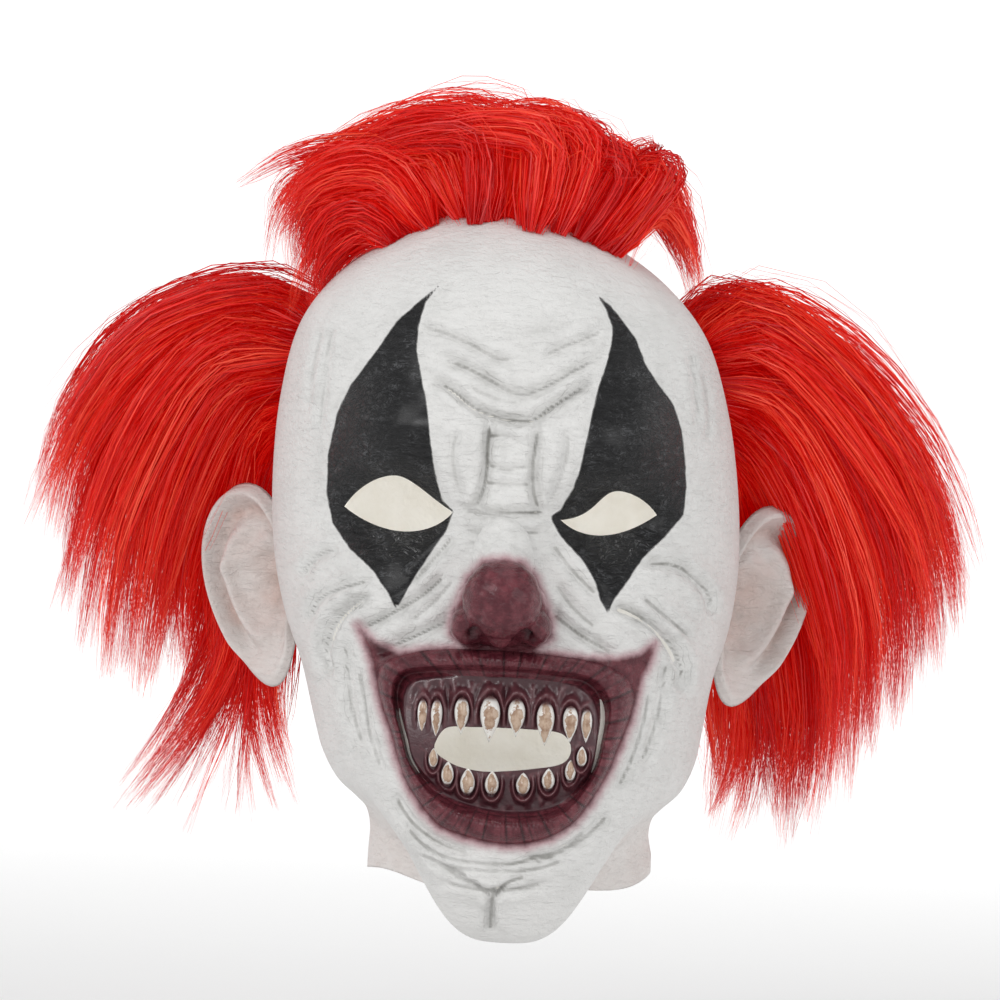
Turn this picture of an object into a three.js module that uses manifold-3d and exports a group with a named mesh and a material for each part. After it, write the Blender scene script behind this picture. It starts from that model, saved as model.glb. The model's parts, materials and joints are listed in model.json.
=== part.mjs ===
// A full-head latex clown mask with three tufts of hair and two rows of pointed teeth, in millimetres.
// +Z is up, the face looks along -Y and +X is to the right of someone who looks at the face.
// The origin is the inside of the crown, where the wearer's head bears.
import * as THREE from 'three';
import { mergeVertices } from 'three/addons/utils/BufferGeometryUtils.js';
import Module from 'manifold-3d';

const wasm = await Module();
wasm.setup();

// Head
const WALL = 2.8; // latex
const HEAD_HALF_WIDE = 99; // axis to the side of the head
const FACE_REACH = 98; // axis to the brow
const BACK_REACH = 112; // axis to the back of the head
const FACE_DROP = 296; // crown to the lowest point of the chin
const LEAN = 0.055; // sideways lean of the head over its height
const LEAN_LEVEL = -115; // height at which that lean is nothing
const RELIEF = 10; // depth of the brows, cheeks and sockets
const FURROW_HALF_WIDE = 4;
const RIM_WAVE = 1.5; // waviness of the trimmed neck edge

// Eye holes, nose and mouth
const EYE_Z = -121;
const EYE_WIDE = 41;
const EYE_HIGH = 20.5;
const EYE_X = 42;
const NOSE_Z = -157.5;
const NOSE_RADIUS = 15.7;
const NOSE_REACH = 34; // ball's front to the face behind it
const NOSTRIL_RADIUS = 8.2;
const NOSTRIL_HOLE = 3; // half width of a breathing hole
const MOUTH_X = 3.5;
const MOUTH_Z = -195;
const MOUTH_HALF_WIDE = 47;
const MOUTH_RISE = 12; // middle of the upper lip above MOUTH_Z
const MOUTH_DROP = 55; // middle of the lower lip below MOUTH_Z
const LIP_HALF_WIDE = 5;
const LIP_STAND = 5; // lip's front before the face
const GUM_SET_BACK = 13; // gum behind the face
const GUM_WALL = 3;
const GAPE_X = 3; // middle of the hole between the gums
const GAPE_Z = -218.5;
const GAPE_HALF_WIDE = 27;
const GAPE_HALF_HIGH = 8;

// Teeth
const TOOTH_LONG = 17;
const TOOTH_WIDE = 8;
const TOOTH_SOCKET = 1.2; // depth of a tooth's back in the gum
const SEAT_GAP = 0.3; // between two pieces that meet

// Ears
const EAR_HIGH = 88;
const EAR_WIDE = 46;
const EAR_THICK = 9;
const EAR_Z = -154;
const EAR_BACK_ANGLE = 38; // degrees from straight out to the side
const EAR_TILT = 17; // degrees that the top leans out

// Hair
const HAIR_BACKING = 3;
const LOCK_THICK = 30;
const TUFT_SPREAD = 108; // reach of a side tuft from its root
const TUFT_FALL = 195; // fall of a side tuft from its root
const ROOT_REACH = 0.1; // how far every lock first stands out, of TUFT_SPREAD
const CREST_SPREAD = 90; // half the crest's width
const CREST_RISE = 40; // crest's top above the crown

// Lengths in the tables are shares of the sizes named in their columns.
// Each section is a loop round the head, whose front may hang lower than its sides.
// zFront, zSide and zBack are shares of FACE_DROP, wide of HEAD_HALF_WIDE, front of FACE_REACH,
// back of BACK_REACH and dip, the width over which the front hangs, of HEAD_HALF_WIDE.
const SECTIONS = [
  { name: 'crown', zFront: 0.01, zSide: 0.01, zBack: 0.01, wide: 0.0, front: 0.0, back: 0.0, dip: 0.9 },
  { name: 'top', zFront: 0.002, zSide: 0.002, zBack: 0.005, wide: 0.24, front: 0.26, back: 0.27, dip: 0.9 },
  { name: 'hairline', zFront: -0.03, zSide: -0.028, zBack: -0.025,
    wide: 0.455, front: 0.52, back: 0.52, dip: 0.9 },
  { name: 'forehead', zFront: -0.085, zSide: -0.085, zBack: -0.075,
    wide: 0.69, front: 0.76, back: 0.73, dip: 0.9 },
  { name: 'upper_temple', zFront: -0.16, zSide: -0.16, zBack: -0.155,
    wide: 0.862, front: 0.91, back: 0.88, dip: 0.9 },
  { name: 'temple', zFront: -0.26, zSide: -0.262, zBack: -0.26,
    wide: 0.948, front: 0.985, back: 0.97, dip: 0.9 },
  { name: 'brow', zFront: -0.37, zSide: -0.37, zBack: -0.37, wide: 0.985, front: 1.0, back: 1.0, dip: 0.9 },
  { name: 'nose_root', zFront: -0.48, zSide: -0.473, zBack: -0.47,
    wide: 0.985, front: 0.97, back: 0.97, dip: 0.9 },
  { name: 'cheek', zFront: -0.575, zSide: -0.555, zBack: -0.55,
    wide: 0.945, front: 1.01, back: 0.9, dip: 0.9 },
  { name: 'upper_lip', zFront: -0.672, zSide: -0.63, zBack: -0.62,
    wide: 0.87, front: 1.07, back: 0.83, dip: 0.78 },
  { name: 'mouth', zFront: -0.775, zSide: -0.7, zBack: -0.68,
    wide: 0.825, front: 1.1, back: 0.77, dip: 0.66 },
  { name: 'lower_lip', zFront: -0.865, zSide: -0.755, zBack: -0.73,
    wide: 0.79, front: 1.09, back: 0.735, dip: 0.54 },
  { name: 'chin_pad', zFront: -0.94, zSide: -0.797, zBack: -0.765,
    wide: 0.73, front: 1.045, back: 0.71, dip: 0.45 },
  { name: 'chin_tip', zFront: -1.0, zSide: -0.822, zBack: -0.79,
    wide: 0.65, front: 0.88, back: 0.7, dip: 0.405 },
  { name: 'under_chin', zFront: -0.963, zSide: -0.838, zBack: -0.815,
    wide: 0.605, front: 0.66, back: 0.69, dip: 0.405 },
  { name: 'throat', zFront: -0.9, zSide: -0.86, zBack: -0.838,
    wide: 0.59, front: 0.46, back: 0.69, dip: 0.5 },
  { name: 'neck_rim', zFront: -0.94, zSide: -0.896, zBack: -0.875,
    wide: 0.6, front: 0.46, back: 0.7, dip: 0.7 },
];

// Swellings and hollows of the face: a round of half sizes rx and rz, pushed forward by push times RELIEF.
// A paired one is on both sides of the face.
const SWELLINGS = [
  { name: 'brow', paired: true, x: 1.12 * EYE_X, z: EYE_Z + 1.45 * EYE_HIGH,
    rx: 0.55 * EYE_WIDE, rz: 0.9 * EYE_HIGH, push: 0.85 },
  { name: 'socket', paired: true, x: EYE_X, z: EYE_Z - 0.1 * EYE_HIGH,
    rx: 0.6 * EYE_WIDE, rz: 0.62 * EYE_HIGH, push: -1.15 },
  { name: 'frown_pad', paired: true, x: 0.47 * EYE_X, z: EYE_Z + 0.75 * EYE_HIGH,
    rx: 0.2 * EYE_WIDE, rz: 1.1 * EYE_HIGH, push: 0.45 },
  { name: 'bridge', paired: false, x: 0, z: NOSE_Z + 1.3 * NOSE_RADIUS,
    rx: NOSE_RADIUS, rz: 1.3 * NOSE_RADIUS, push: 1.0 },
  { name: 'cheek', paired: true, x: 1.3 * EYE_X, z: EYE_Z - 1.75 * EYE_HIGH,
    rx: 0.6 * EYE_WIDE, rz: EYE_HIGH, push: 0.9 },
  { name: 'muzzle', paired: false, x: MOUTH_X, z: MOUTH_Z - 0.3 * MOUTH_DROP,
    rx: 1.25 * MOUTH_HALF_WIDE, rz: MOUTH_DROP, push: 0.9 },
  { name: 'chin_cleft', paired: false, x: 0, z: -0.965 * FACE_DROP,
    rx: 0.045 * HEAD_HALF_WIDE, rz: 0.03 * FACE_DROP, push: -0.35 },
];

// Furrows of the face, each along an arc of an ellipse with middle x, z and half sizes rx, rz, from one angle
// to another in degrees, 0 at the outer side and 90 at the top. deep is a share of RELIEF.
const FURROWS = [
  { name: 'upper_forehead', paired: false, x: 0, z: -0.149 * FACE_DROP, rx: 0.455 * HEAD_HALF_WIDE,
    rz: 0.061 * FACE_DROP, from: 205, to: 335, deep: 0.16 },
  { name: 'middle_forehead', paired: false, x: 0.04 * HEAD_HALF_WIDE, z: -0.186 * FACE_DROP,
    rx: 0.455 * HEAD_HALF_WIDE, rz: 0.068 * FACE_DROP, from: 205, to: 335, deep: 0.2 },
  { name: 'lower_forehead', paired: false, x: 0.01 * HEAD_HALF_WIDE, z: -0.223 * FACE_DROP,
    rx: 0.415 * HEAD_HALF_WIDE, rz: 0.068 * FACE_DROP, from: 200, to: 340, deep: 0.24 },
  { name: 'smile', paired: true, x: 0.38 * MOUTH_HALF_WIDE, z: MOUTH_Z + 0.09 * MOUTH_DROP,
    rx: 0.7 * MOUTH_HALF_WIDE, rz: 0.49 * MOUTH_DROP, from: 5, to: 85, deep: 0.3 },
  { name: 'cheek', paired: true, x: 0.94 * MOUTH_HALF_WIDE, z: MOUTH_Z + 0.11 * MOUTH_DROP,
    rx: 0.55 * MOUTH_HALF_WIDE, rz: 0.53 * MOUTH_DROP, from: -10, to: 95, deep: 0.35 },
  { name: 'outer_cheek', paired: true, x: 1.06 * MOUTH_HALF_WIDE, z: MOUTH_Z + 0.31 * MOUTH_DROP,
    rx: 0.7 * MOUTH_HALF_WIDE, rz: 0.56 * MOUTH_DROP, from: 10, to: 80, deep: 0.25 },
];

// Eyelid curves from the outer corner round to itself, as shares of EYE_WIDE and EYE_HIGH from the eye's middle,
// with x counted outwards. aX, aZ, bX and bZ are the curve's handles.
const LEFT_LIDS = [
  { name: 'outer_upper', toX: 0.06, toZ: 0.535, aX: 0.42, aZ: 0.3, bX: 0.22, bZ: 0.535 },
  { name: 'inner_upper', toX: -0.52, toZ: -0.127, aX: -0.1, aZ: 0.535, bX: -0.3, bZ: 0.1 },
  { name: 'lower', toX: 0.544, toZ: -0.112, aX: -0.3, aZ: -0.68, bX: 0.15, bZ: -0.7 },
];
const RIGHT_LIDS = [
  { name: 'outer_upper', toX: 0.08, toZ: 0.42, aX: 0.38, aZ: 0.22, bX: 0.22, bZ: 0.41 },
  { name: 'inner_upper', toX: -0.48, toZ: -0.19, aX: -0.12, aZ: 0.42, bX: -0.12, bZ: -0.12 },
  { name: 'lower', toX: 0.456, toZ: -0.015, aX: -0.25, aZ: -0.6, bX: 0.1, bZ: -0.55 },
];

// Teeth: x of the tooth from the middle of the gape and z of its middle from the gape's, as shares of
// GAPE_HALF_WIDE and GAPE_HALF_HIGH; size as a share of TOOTH_LONG, wide of TOOTH_WIDE.
const UPPER_TEETH = [
  { x: -1.2, z: 1.6, long: 0.85, wide: 0.58 },
  { x: -0.99, z: 1.53, long: 0.95, wide: 0.66 },
  { x: -0.62, z: 1.73, long: 0.9, wide: 0.85 },
  { x: -0.2, z: 1.65, long: 1.12, wide: 1.15 },
  { x: 0.19, z: 1.76, long: 0.93, wide: 1.0 },
  { x: 0.62, z: 1.53, long: 1.06, wide: 1.02 },
  { x: 0.99, z: 1.54, long: 0.9, wide: 0.87 },
  { x: 1.23, z: 1.46, long: 0.85, wide: 0.65 },
];
const LOWER_TEETH = [
  { x: -1.01, z: -0.44, long: 0.48, wide: 0.55 },
  { x: -0.79, z: -1.18, long: 0.58, wide: 0.72 },
  { x: -0.49, z: -1.53, long: 0.64, wide: 0.85 },
  { x: -0.13, z: -1.56, long: 0.58, wide: 0.8 },
  { x: 0.33, z: -1.53, long: 0.54, wide: 0.8 },
  { x: 0.7, z: -1.25, long: 0.52, wide: 0.75 },
  { x: 1.02, z: -0.78, long: 0.52, wide: 0.62 },
  { x: 1.18, z: -0.06, long: 0.5, wide: 0.6 },
];

// Locks of a side tuft. The root lies on the head at heights rootZ, a share of FACE_DROP, and turn, degrees back
// from the side. out is how far the tip is from the root, of TUFT_SPREAD, fall how far below it, of TUFT_FALL,
// lift how high the lock arches over the root, of TUFT_SPREAD, back where it drifts, of TUFT_SPREAD,
// and thick of LOCK_THICK.
const LEFT_LOCKS = [
  { rootZ: -0.19, turn: 12, out: 0.9, fall: 0.4, lift: 0.1, back: 0.0, thick: 1.1 },
  { rootZ: -0.2, turn: 25, out: 0.78, fall: 0.68, lift: 0.13, back: 0.3, thick: 1.3 },
  { rootZ: -0.22, turn: 16, out: 0.56, fall: 0.96, lift: 0.12, back: 0.05, thick: 1.3 },
  { rootZ: -0.25, turn: 10, out: 0.7, fall: 0.62, lift: 0.06, back: -0.08, thick: 1.3 },
  { rootZ: -0.29, turn: 22, out: 0.42, fall: 0.68, lift: 0.05, back: 0.18, thick: 1.3 },
  { rootZ: -0.33, turn: 14, out: 0.24, fall: 0.72, lift: 0.02, back: 0.24, thick: 1.1 },
  { rootZ: -0.36, turn: 20, out: 0.02, fall: 0.72, lift: 0.02, back: 0.2, thick: 0.8 },
];
const RIGHT_LOCKS = [
  { rootZ: -0.2, turn: 12, out: 0.9, fall: 0.54, lift: 0.1, back: 0.0, thick: 1.2 },
  { rootZ: -0.21, turn: 25, out: 0.78, fall: 0.68, lift: 0.12, back: 0.3, thick: 1.3 },
  { rootZ: -0.23, turn: 14, out: 0.6, fall: 0.78, lift: 0.1, back: 0.0, thick: 1.4 },
  { rootZ: -0.27, turn: 22, out: 0.44, fall: 0.84, lift: 0.06, back: 0.2, thick: 1.3 },
  { rootZ: -0.31, turn: 12, out: 0.24, fall: 0.82, lift: 0.03, back: 0.14, thick: 1.2 },
  { rootZ: -0.35, turn: 20, out: 0.08, fall: 0.76, lift: 0.02, back: 0.22, thick: 0.9 },
];
// Locks of the crest. across is where the root is, of CREST_SPREAD, tipAcross where the tip is,
// rise how high the lock arches, of CREST_RISE, tipZ where the tip is, of CREST_RISE, and back its drift.
const CREST_LOCKS = [
  { across: -0.42, tipAcross: -0.86, rise: 0.3, tipZ: -0.95, back: 0.2, thick: 0.9 },
  { across: -0.34, tipAcross: -0.96, rise: 0.6, tipZ: -0.1, back: 0.1, thick: 1.1 },
  { across: -0.2, tipAcross: -0.68, rise: 0.85, tipZ: 0.5, back: 0.35, thick: 1.15 },
  { across: -0.06, tipAcross: -0.35, rise: 1.0, tipZ: 0.68, back: 0.6, thick: 1.15 },
  { across: 0.08, tipAcross: 0.0, rise: 1.02, tipZ: 0.66, back: 0.7, thick: 1.15 },
  { across: 0.22, tipAcross: 0.36, rise: 0.9, tipZ: 0.45, back: 0.6, thick: 1.15 },
  { across: 0.34, tipAcross: 0.68, rise: 0.55, tipZ: -0.1, back: 0.3, thick: 1.0 },
  { across: 0.42, tipAcross: 0.76, rise: 0.25, tipZ: -0.75, back: 0.15, thick: 0.7 },
];

// How finely the surfaces are divided
const OUTER = { columns: 36, rows: 34 };
const INNER = { columns: 22, rows: 34 };
const FRONT_CROWDING = 0.42; // spacing of the columns at the face against an even one
const ROW_CROWDING = 0.07; // crowding of the rows at the brow and cheeks
const LIP_STEPS = 24;
const LIP_SIDES = 6;

const COLOURS = {
  latex: { color: 0xe6e4e1, roughness: 0.5, metalness: 0 },
  teeth: { color: 0xcdbba4, roughness: 0.25, metalness: 0 },
  hair: { color: 0xd8140c, roughness: 0.55, metalness: 0 },
};

const radians = THREE.MathUtils.degToRad;
const mix = THREE.MathUtils.lerp;

// The closed solid of a three.js geometry.
function solidOf(geometry) {
  const bare = new THREE.BufferGeometry();
  bare.setAttribute('position', geometry.getAttribute('position'));
  if (geometry.index) bare.setIndex(geometry.index);
  const merged = mergeVertices(bare, 1e-4);
  return new wasm.Manifold(new wasm.Mesh({
    numProp: 3,
    vertProperties: new Float32Array(merged.attributes.position.array),
    triVerts: new Uint32Array(merged.index.array),
  }));
}

// The geometry of a solid.
function geometryOf(solid) {
  const mesh = solid.getMesh();
  const geometry = new THREE.BufferGeometry();
  geometry.setAttribute('position', new THREE.BufferAttribute(new Float32Array(mesh.vertProperties), 3));
  geometry.setIndex(new THREE.BufferAttribute(new Uint32Array(mesh.triVerts), 1));
  geometry.computeVertexNormals();
  return geometry;
}

// The solid inside a stack of closed loops of points, with a fan over the first and the last loop.
function loftSolid(loops) {
  const points = [];
  const faces = [];
  const around = loops[0].length;
  for (const loop of loops) points.push(...loop);
  for (let i = 0; i + 1 < loops.length; i += 1) {
    for (let j = 0; j < around; j += 1) {
      const a = i * around + j;
      const b = i * around + ((j + 1) % around);
      const c = a + around;
      const d = b + around;
      const falling = points[a].distanceTo(points[d]) < points[b].distanceTo(points[c]);
      faces.push(falling ? [a, c, d] : [a, c, b], falling ? [a, d, b] : [b, c, d]);
    }
  }
  const centre = (loop) => loop.reduce((sum, p) => sum.add(p), new THREE.Vector3()).divideScalar(around);
  const firstCentre = points.push(centre(loops[0])) - 1;
  const lastCentre = points.push(centre(loops[loops.length - 1])) - 1;
  const lastStart = (loops.length - 1) * around;
  for (let j = 0; j < around; j += 1) {
    const next = (j + 1) % around;
    faces.push([firstCentre, j, next]);
    faces.push([lastCentre, lastStart + next, lastStart + j]);
  }
  return closedSolid(points, faces);
}

// The solid of points and triangles, turned to face outwards.
function closedSolid(points, faces) {
  const geometry = new THREE.BufferGeometry();
  geometry.setAttribute('position', new THREE.Float32BufferAttribute(points.flatMap((p) => [p.x, p.y, p.z]), 3));
  geometry.setIndex(faces.flat());
  const solid = solidOf(geometry);
  if (solid.volume() > 0) return solid;
  geometry.setIndex(faces.map(([a, b, c]) => [a, c, b]).flat());
  return solidOf(geometry);
}

// The solid that a flat outline of (x, z) points sweeps from yFrom to yTo.
function prismSolid(outline, yFrom, yTo) {
  const loop = (y) => outline.map((p) => new THREE.Vector3(p.x, y, p.y));
  return loftSolid([loop(yFrom), loop(yTo)]);
}

// One column of SECTIONS at height share t, from 0 at the crown to 1 at the neck's rim, on a smooth curve.
function sectionValue(column, t) {
  const place = t * (SECTIONS.length - 1);
  const i = Math.min(Math.floor(place), SECTIONS.length - 2);
  const f = place - i;
  const value = (k) => SECTIONS[THREE.MathUtils.clamp(k, 0, SECTIONS.length - 1)][column];
  const [a, b, c, d] = [value(i - 1), value(i), value(i + 1), value(i + 2)];
  const slopeIn = (c - a) / 2;
  const slopeOut = (d - b) / 2;
  return b * (1 + 2 * f) * (1 - f) ** 2 + slopeIn * f * (1 - f) ** 2
    + c * f * f * (3 - 2 * f) - slopeOut * f * f * (1 - f);
}

// How far the face is pushed forward at x, z.
function relief(x, z) {
  let push = 0;
  for (const s of SWELLINGS) {
    const nearest = s.paired ? Math.abs(x) : x;
    push += s.push * RELIEF * Math.exp(-(((nearest - s.x) / s.rx) ** 2) - ((z - s.z) / s.rz) ** 2);
  }
  for (const f of FURROWS) {
    const across = ((f.paired ? Math.abs(x) : x) - f.x) / f.rx;
    const up = (z - f.z) / f.rz;
    const angle = THREE.MathUtils.radToDeg(Math.atan2(up, across));
    const along = angle < f.from - 20 ? angle + 360 : angle;
    const off = (Math.hypot(across, up) - 1) * Math.sqrt(f.rx * f.rz) / FURROW_HALF_WIDE;
    const ends = THREE.MathUtils.smoothstep(along, f.from - 15, f.from + 15)
      * THREE.MathUtils.smoothstep(-along, -f.to - 15, -f.to + 15);
    push -= f.deep * RELIEF * ends * Math.exp(-off * off);
  }
  return push;
}

// A point of the head's outer surface: turn is 0 at the face and pi at the back, t as in sectionValue.
function headPoint(turn, t) {
  const wide = sectionValue('wide', t) * HEAD_HALF_WIDE;
  const front = sectionValue('front', t) * FACE_REACH;
  const back = sectionValue('back', t) * BACK_REACH;
  const sideX = wide * Math.sin(turn);
  const cos = Math.cos(turn);
  const middleY = 0.06 * BACK_REACH * Math.min(1, 6 * t);
  const y = cos > 0 ? middleY - (front + middleY) * cos : middleY - (back - middleY) * cos;
  const hang = cos > 0 ? Math.exp(-(Math.abs(sideX / (sectionValue('dip', t) * HEAD_HALF_WIDE)) ** 3.3)) : 0;
  const rise = cos < 0 ? cos * cos : 0;
  const zSide = sectionValue('zSide', t);
  const z = FACE_DROP * (zSide + (sectionValue('zFront', t) - zSide) * hang + (sectionValue('zBack', t) - zSide) * rise);
  const wave = RIM_WAVE * Math.sin(5 * turn) * THREE.MathUtils.smoothstep(t, 0.95, 1);
  const x = sideX - LEAN * (FACE_DROP * zSide - LEAN_LEVEL);
  const facing = THREE.MathUtils.smoothstep(cos, 0.1, 0.6);
  return new THREE.Vector3(x, y - relief(x, z) * facing * THREE.MathUtils.smoothstep(0.9 - t, 0, 0.1), z + wave);
}

// The outward direction at a point of the head.
function headNormal(turn, t) {
  const d = 0.004;
  const low = Math.max(t, 2 * d);
  const across = headPoint(turn + d, low).sub(headPoint(turn - d, low));
  const down = headPoint(turn, Math.min(low + d, 1)).sub(headPoint(turn, low - d));
  return down.cross(across).normalize();
}

// The turn at a share from 0 to 1 of the way round, with the columns crowded together at the face.
function columnTurn(share) {
  const even = 2 * share - 1;
  return Math.PI * (FRONT_CROWDING * even + (1 - FRONT_CROWDING) * even ** 3);
}

// The solid of the head in so many columns and rows, grown outwards by grow, its foot moved down by below.
function headSolid({ columns, rows }, grow, below) {
  const loops = [];
  for (let i = 1; i <= rows; i += 1) {
    const share = i / rows;
    const t = share + ROW_CROWDING * Math.sin(2 * Math.PI * share) * (1 - share);
    const loop = [];
    for (let j = 0; j < columns; j += 1) {
      const turn = columnTurn(j / columns);
      loop.push(headPoint(turn, t).addScaledVector(headNormal(turn, t), grow));
    }
    loops.push(loop);
  }
  if (below > 0) {
    const rim = loops[loops.length - 1];
    loops.push(rim.map((p) => new THREE.Vector3(p.x, p.y, p.z - below)));
  }
  const first = loops[0];
  const pole = new THREE.Vector3(first[0].x, 0, WALL + grow);
  loops.unshift(first.map((p) => p.clone().lerp(pole, 0.7).setZ(mix(p.z, pole.z, 0.85))));
  return loftSolid(loops);
}

// The y of the face's surface at x, z, found by walking over the surface.
function faceY(x, z) {
  let turn = 0;
  let t = 0.5;
  for (let step = 0; step < 40; step += 1) {
    const here = headPoint(turn, t);
    const d = 0.001;
    const right = headPoint(turn + d, t);
    const lower = headPoint(turn, t + d);
    const xTurn = (right.x - here.x) / d;
    const zTurn = (right.z - here.z) / d;
    const xT = (lower.x - here.x) / d;
    const zT = (lower.z - here.z) / d;
    const det = xTurn * zT - xT * zTurn;
    const ex = x - here.x;
    const ez = z - here.z;
    turn = THREE.MathUtils.clamp(turn + (0.7 * (ex * zT - ez * xT)) / det, -1.4, 1.4);
    t = THREE.MathUtils.clamp(t + (0.7 * (ez * xTurn - ex * zTurn)) / det, 0.05, 0.78);
  }
  return headPoint(turn, t).y;
}

// The outline of the mouth at the middle of the lips, grown by grow: a flat top over a deep round bottom.
function mouthPoint(angle, grow) {
  const c = Math.cos(angle);
  const s = Math.sin(angle);
  const power = s > 0 ? 2 / 3 : 2 / 2.1;
  const high = (s > 0 ? MOUTH_RISE : MOUTH_DROP) + grow;
  return new THREE.Vector2(
    MOUTH_X + (MOUTH_HALF_WIDE + grow) * Math.sign(c) * Math.abs(c) ** power,
    MOUTH_Z + high * Math.sign(s) * Math.abs(s) ** power,
  );
}

// The outline of the hole between the gums.
function gapePoint(angle) {
  const c = Math.cos(angle);
  const s = Math.sin(angle);
  return new THREE.Vector2(
    GAPE_X + GAPE_HALF_WIDE * Math.sign(c) * Math.abs(c) ** 0.75,
    GAPE_Z + GAPE_HALF_HIGH * Math.sign(s) * Math.abs(s) ** 0.8,
  );
}

// The y of the gum at x, z: set back behind the face, and curving back to the sides as a row of teeth does.
function gumY(x, z) {
  const across = (x - MOUTH_X) / MOUTH_HALF_WIDE;
  const arch = faceY(MOUTH_X, GAPE_Z) + GUM_SET_BACK + 0.5 * GUM_SET_BACK * across * across;
  const shelf = 0.35 * GUM_SET_BACK * Math.exp(-(((z - GAPE_Z) / (2.2 * GAPE_HALF_HIGH)) ** 2));
  return arch - shelf;
}

const lipAngle = (i) => (2 * Math.PI * (i + 0.5)) / LIP_STEPS;

// The ring of the lips, its middle on the cut edge of the face.
function lipSolid() {
  const points = [];
  const faces = [];
  for (let i = 0; i < LIP_STEPS; i += 1) {
    const middle = mouthPoint(lipAngle(i), 0);
    const outer = mouthPoint(lipAngle(i), LIP_HALF_WIDE);
    const out = outer.clone().sub(middle);
    const y = faceY(middle.x, middle.y);
    for (let k = 0; k < LIP_SIDES; k += 1) {
      const a = (2 * Math.PI * k) / LIP_SIDES;
      points.push(new THREE.Vector3(
        middle.x + out.x * Math.cos(a),
        y + LIP_STAND * (0.15 - Math.sin(a)),
        middle.y + out.y * Math.cos(a),
      ));
    }
  }
  for (let i = 0; i < LIP_STEPS; i += 1) {
    for (let k = 0; k < LIP_SIDES; k += 1) {
      const next = (i + 1) % LIP_STEPS;
      const a = i * LIP_SIDES + k;
      const b = i * LIP_SIDES + ((k + 1) % LIP_SIDES);
      const c = next * LIP_SIDES + k;
      const d = next * LIP_SIDES + ((k + 1) % LIP_SIDES);
      faces.push([a, c, b], [b, c, d]);
    }
  }
  return closedSolid(points, faces);
}

// The gum: a plate from the back of the lips round to the hole between the teeth.
function gumSolid() {
  const shares = [0, 0.4, 0.8, 1];
  const points = [];
  const faces = [];
  const layers = 2 * shares.length;
  for (let i = 0; i < LIP_STEPS; i += 1) {
    const inner = gapePoint(lipAngle(i));
    const outer = mouthPoint(lipAngle(i), 0.3 * LIP_HALF_WIDE);
    const edgeY = faceY(outer.x, outer.y) + 0.5 * LIP_STAND;
    const place = (share, behind) => {
      const p = inner.clone().lerp(outer, share);
      const forward = THREE.MathUtils.smoothstep(share, 0.7, 1);
      return new THREE.Vector3(p.x, mix(gumY(p.x, p.y), edgeY, forward) + behind, p.y);
    };
    for (const share of shares) points.push(place(share, 0));
    for (const share of [...shares].reverse()) points.push(place(share, GUM_WALL));
  }
  for (let i = 0; i < LIP_STEPS; i += 1) {
    for (let k = 0; k < layers; k += 1) {
      const next = (i + 1) % LIP_STEPS;
      const a = i * layers + k;
      const b = i * layers + ((k + 1) % layers);
      const c = next * layers + k;
      const d = next * layers + ((k + 1) % layers);
      faces.push([a, c, b], [b, c, d]);
    }
  }
  return closedSolid(points, faces);
}

// The plug of the nose, a ball's front on a round stalk, shrunk by inset for the hollow behind it.
function noseSolid(inset) {
  const radius = NOSE_RADIUS - inset;
  const behind = faceY(0, NOSE_Z + 0.5 * NOSE_RADIUS);
  const ballY = behind - NOSE_REACH + NOSE_RADIUS;
  const profile = [];
  const steps = 5;
  for (let i = 0; i <= steps; i += 1) {
    const a = (0.5 * Math.PI * i) / steps;
    profile.push(new THREE.Vector2(radius * Math.sin(a), radius * Math.cos(a)));
  }
  const stalk = NOSE_REACH - NOSE_RADIUS;
  profile.push(new THREE.Vector2(0.93 * radius, -0.35 * NOSE_RADIUS));
  profile.push(new THREE.Vector2(1.02 * radius, -0.6 * stalk));
  profile.push(new THREE.Vector2(1.25 * radius, -1.3 * stalk - inset));
  profile.push(new THREE.Vector2(0, -1.3 * stalk - inset));
  const lathe = new THREE.LatheGeometry(profile.reverse(), 14);
  lathe.rotateX(Math.PI);
  lathe.translate(0, ballY, NOSE_Z);
  return solidOf(lathe);
}

// A flat round of a nostril's wing beside the ball.
function wingSolid(side) {
  const wing = new THREE.SphereGeometry(NOSTRIL_RADIUS, 8, 6);
  wing.scale(1, 2, 0.9);
  const y = faceY(0, NOSE_Z) - 0.22 * NOSE_REACH;
  wing.translate(side * 0.8 * NOSE_RADIUS, y, NOSE_Z - 0.8 * NOSE_RADIUS);
  return solidOf(wing);
}

// The breathing hole of a nostril, from below the wing into the hollow nose.
function nostrilHole(side) {
  const outline = [];
  for (let i = 0; i < 8; i += 1) {
    const a = (2 * Math.PI * i) / 8;
    outline.push(new THREE.Vector2(
      side * 0.72 * NOSE_RADIUS + NOSTRIL_HOLE * 1.2 * Math.cos(a),
      NOSE_Z - 0.92 * NOSE_RADIUS + NOSTRIL_HOLE * Math.sin(a),
    ));
  }
  const y = faceY(0, NOSE_Z);
  return prismSolid(outline, y - NOSE_REACH, y + 4 * WALL);
}

// The outline of an eye hole, as (x, z) points.
function eyeOutline(side) {
  const shape = new THREE.Shape();
  const at = (x, z) => [side * (EYE_X + x * EYE_WIDE), EYE_Z + z * EYE_HIGH];
  const lids = side < 0 ? LEFT_LIDS : RIGHT_LIDS;
  const last = lids[lids.length - 1];
  shape.moveTo(...at(last.toX, last.toZ));
  for (const lid of lids) {
    shape.bezierCurveTo(...at(lid.aX, lid.aZ), ...at(lid.bX, lid.bZ), ...at(lid.toX, lid.toZ));
  }
  const points = shape.getPoints(6);
  points.pop();
  return points;
}

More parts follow.
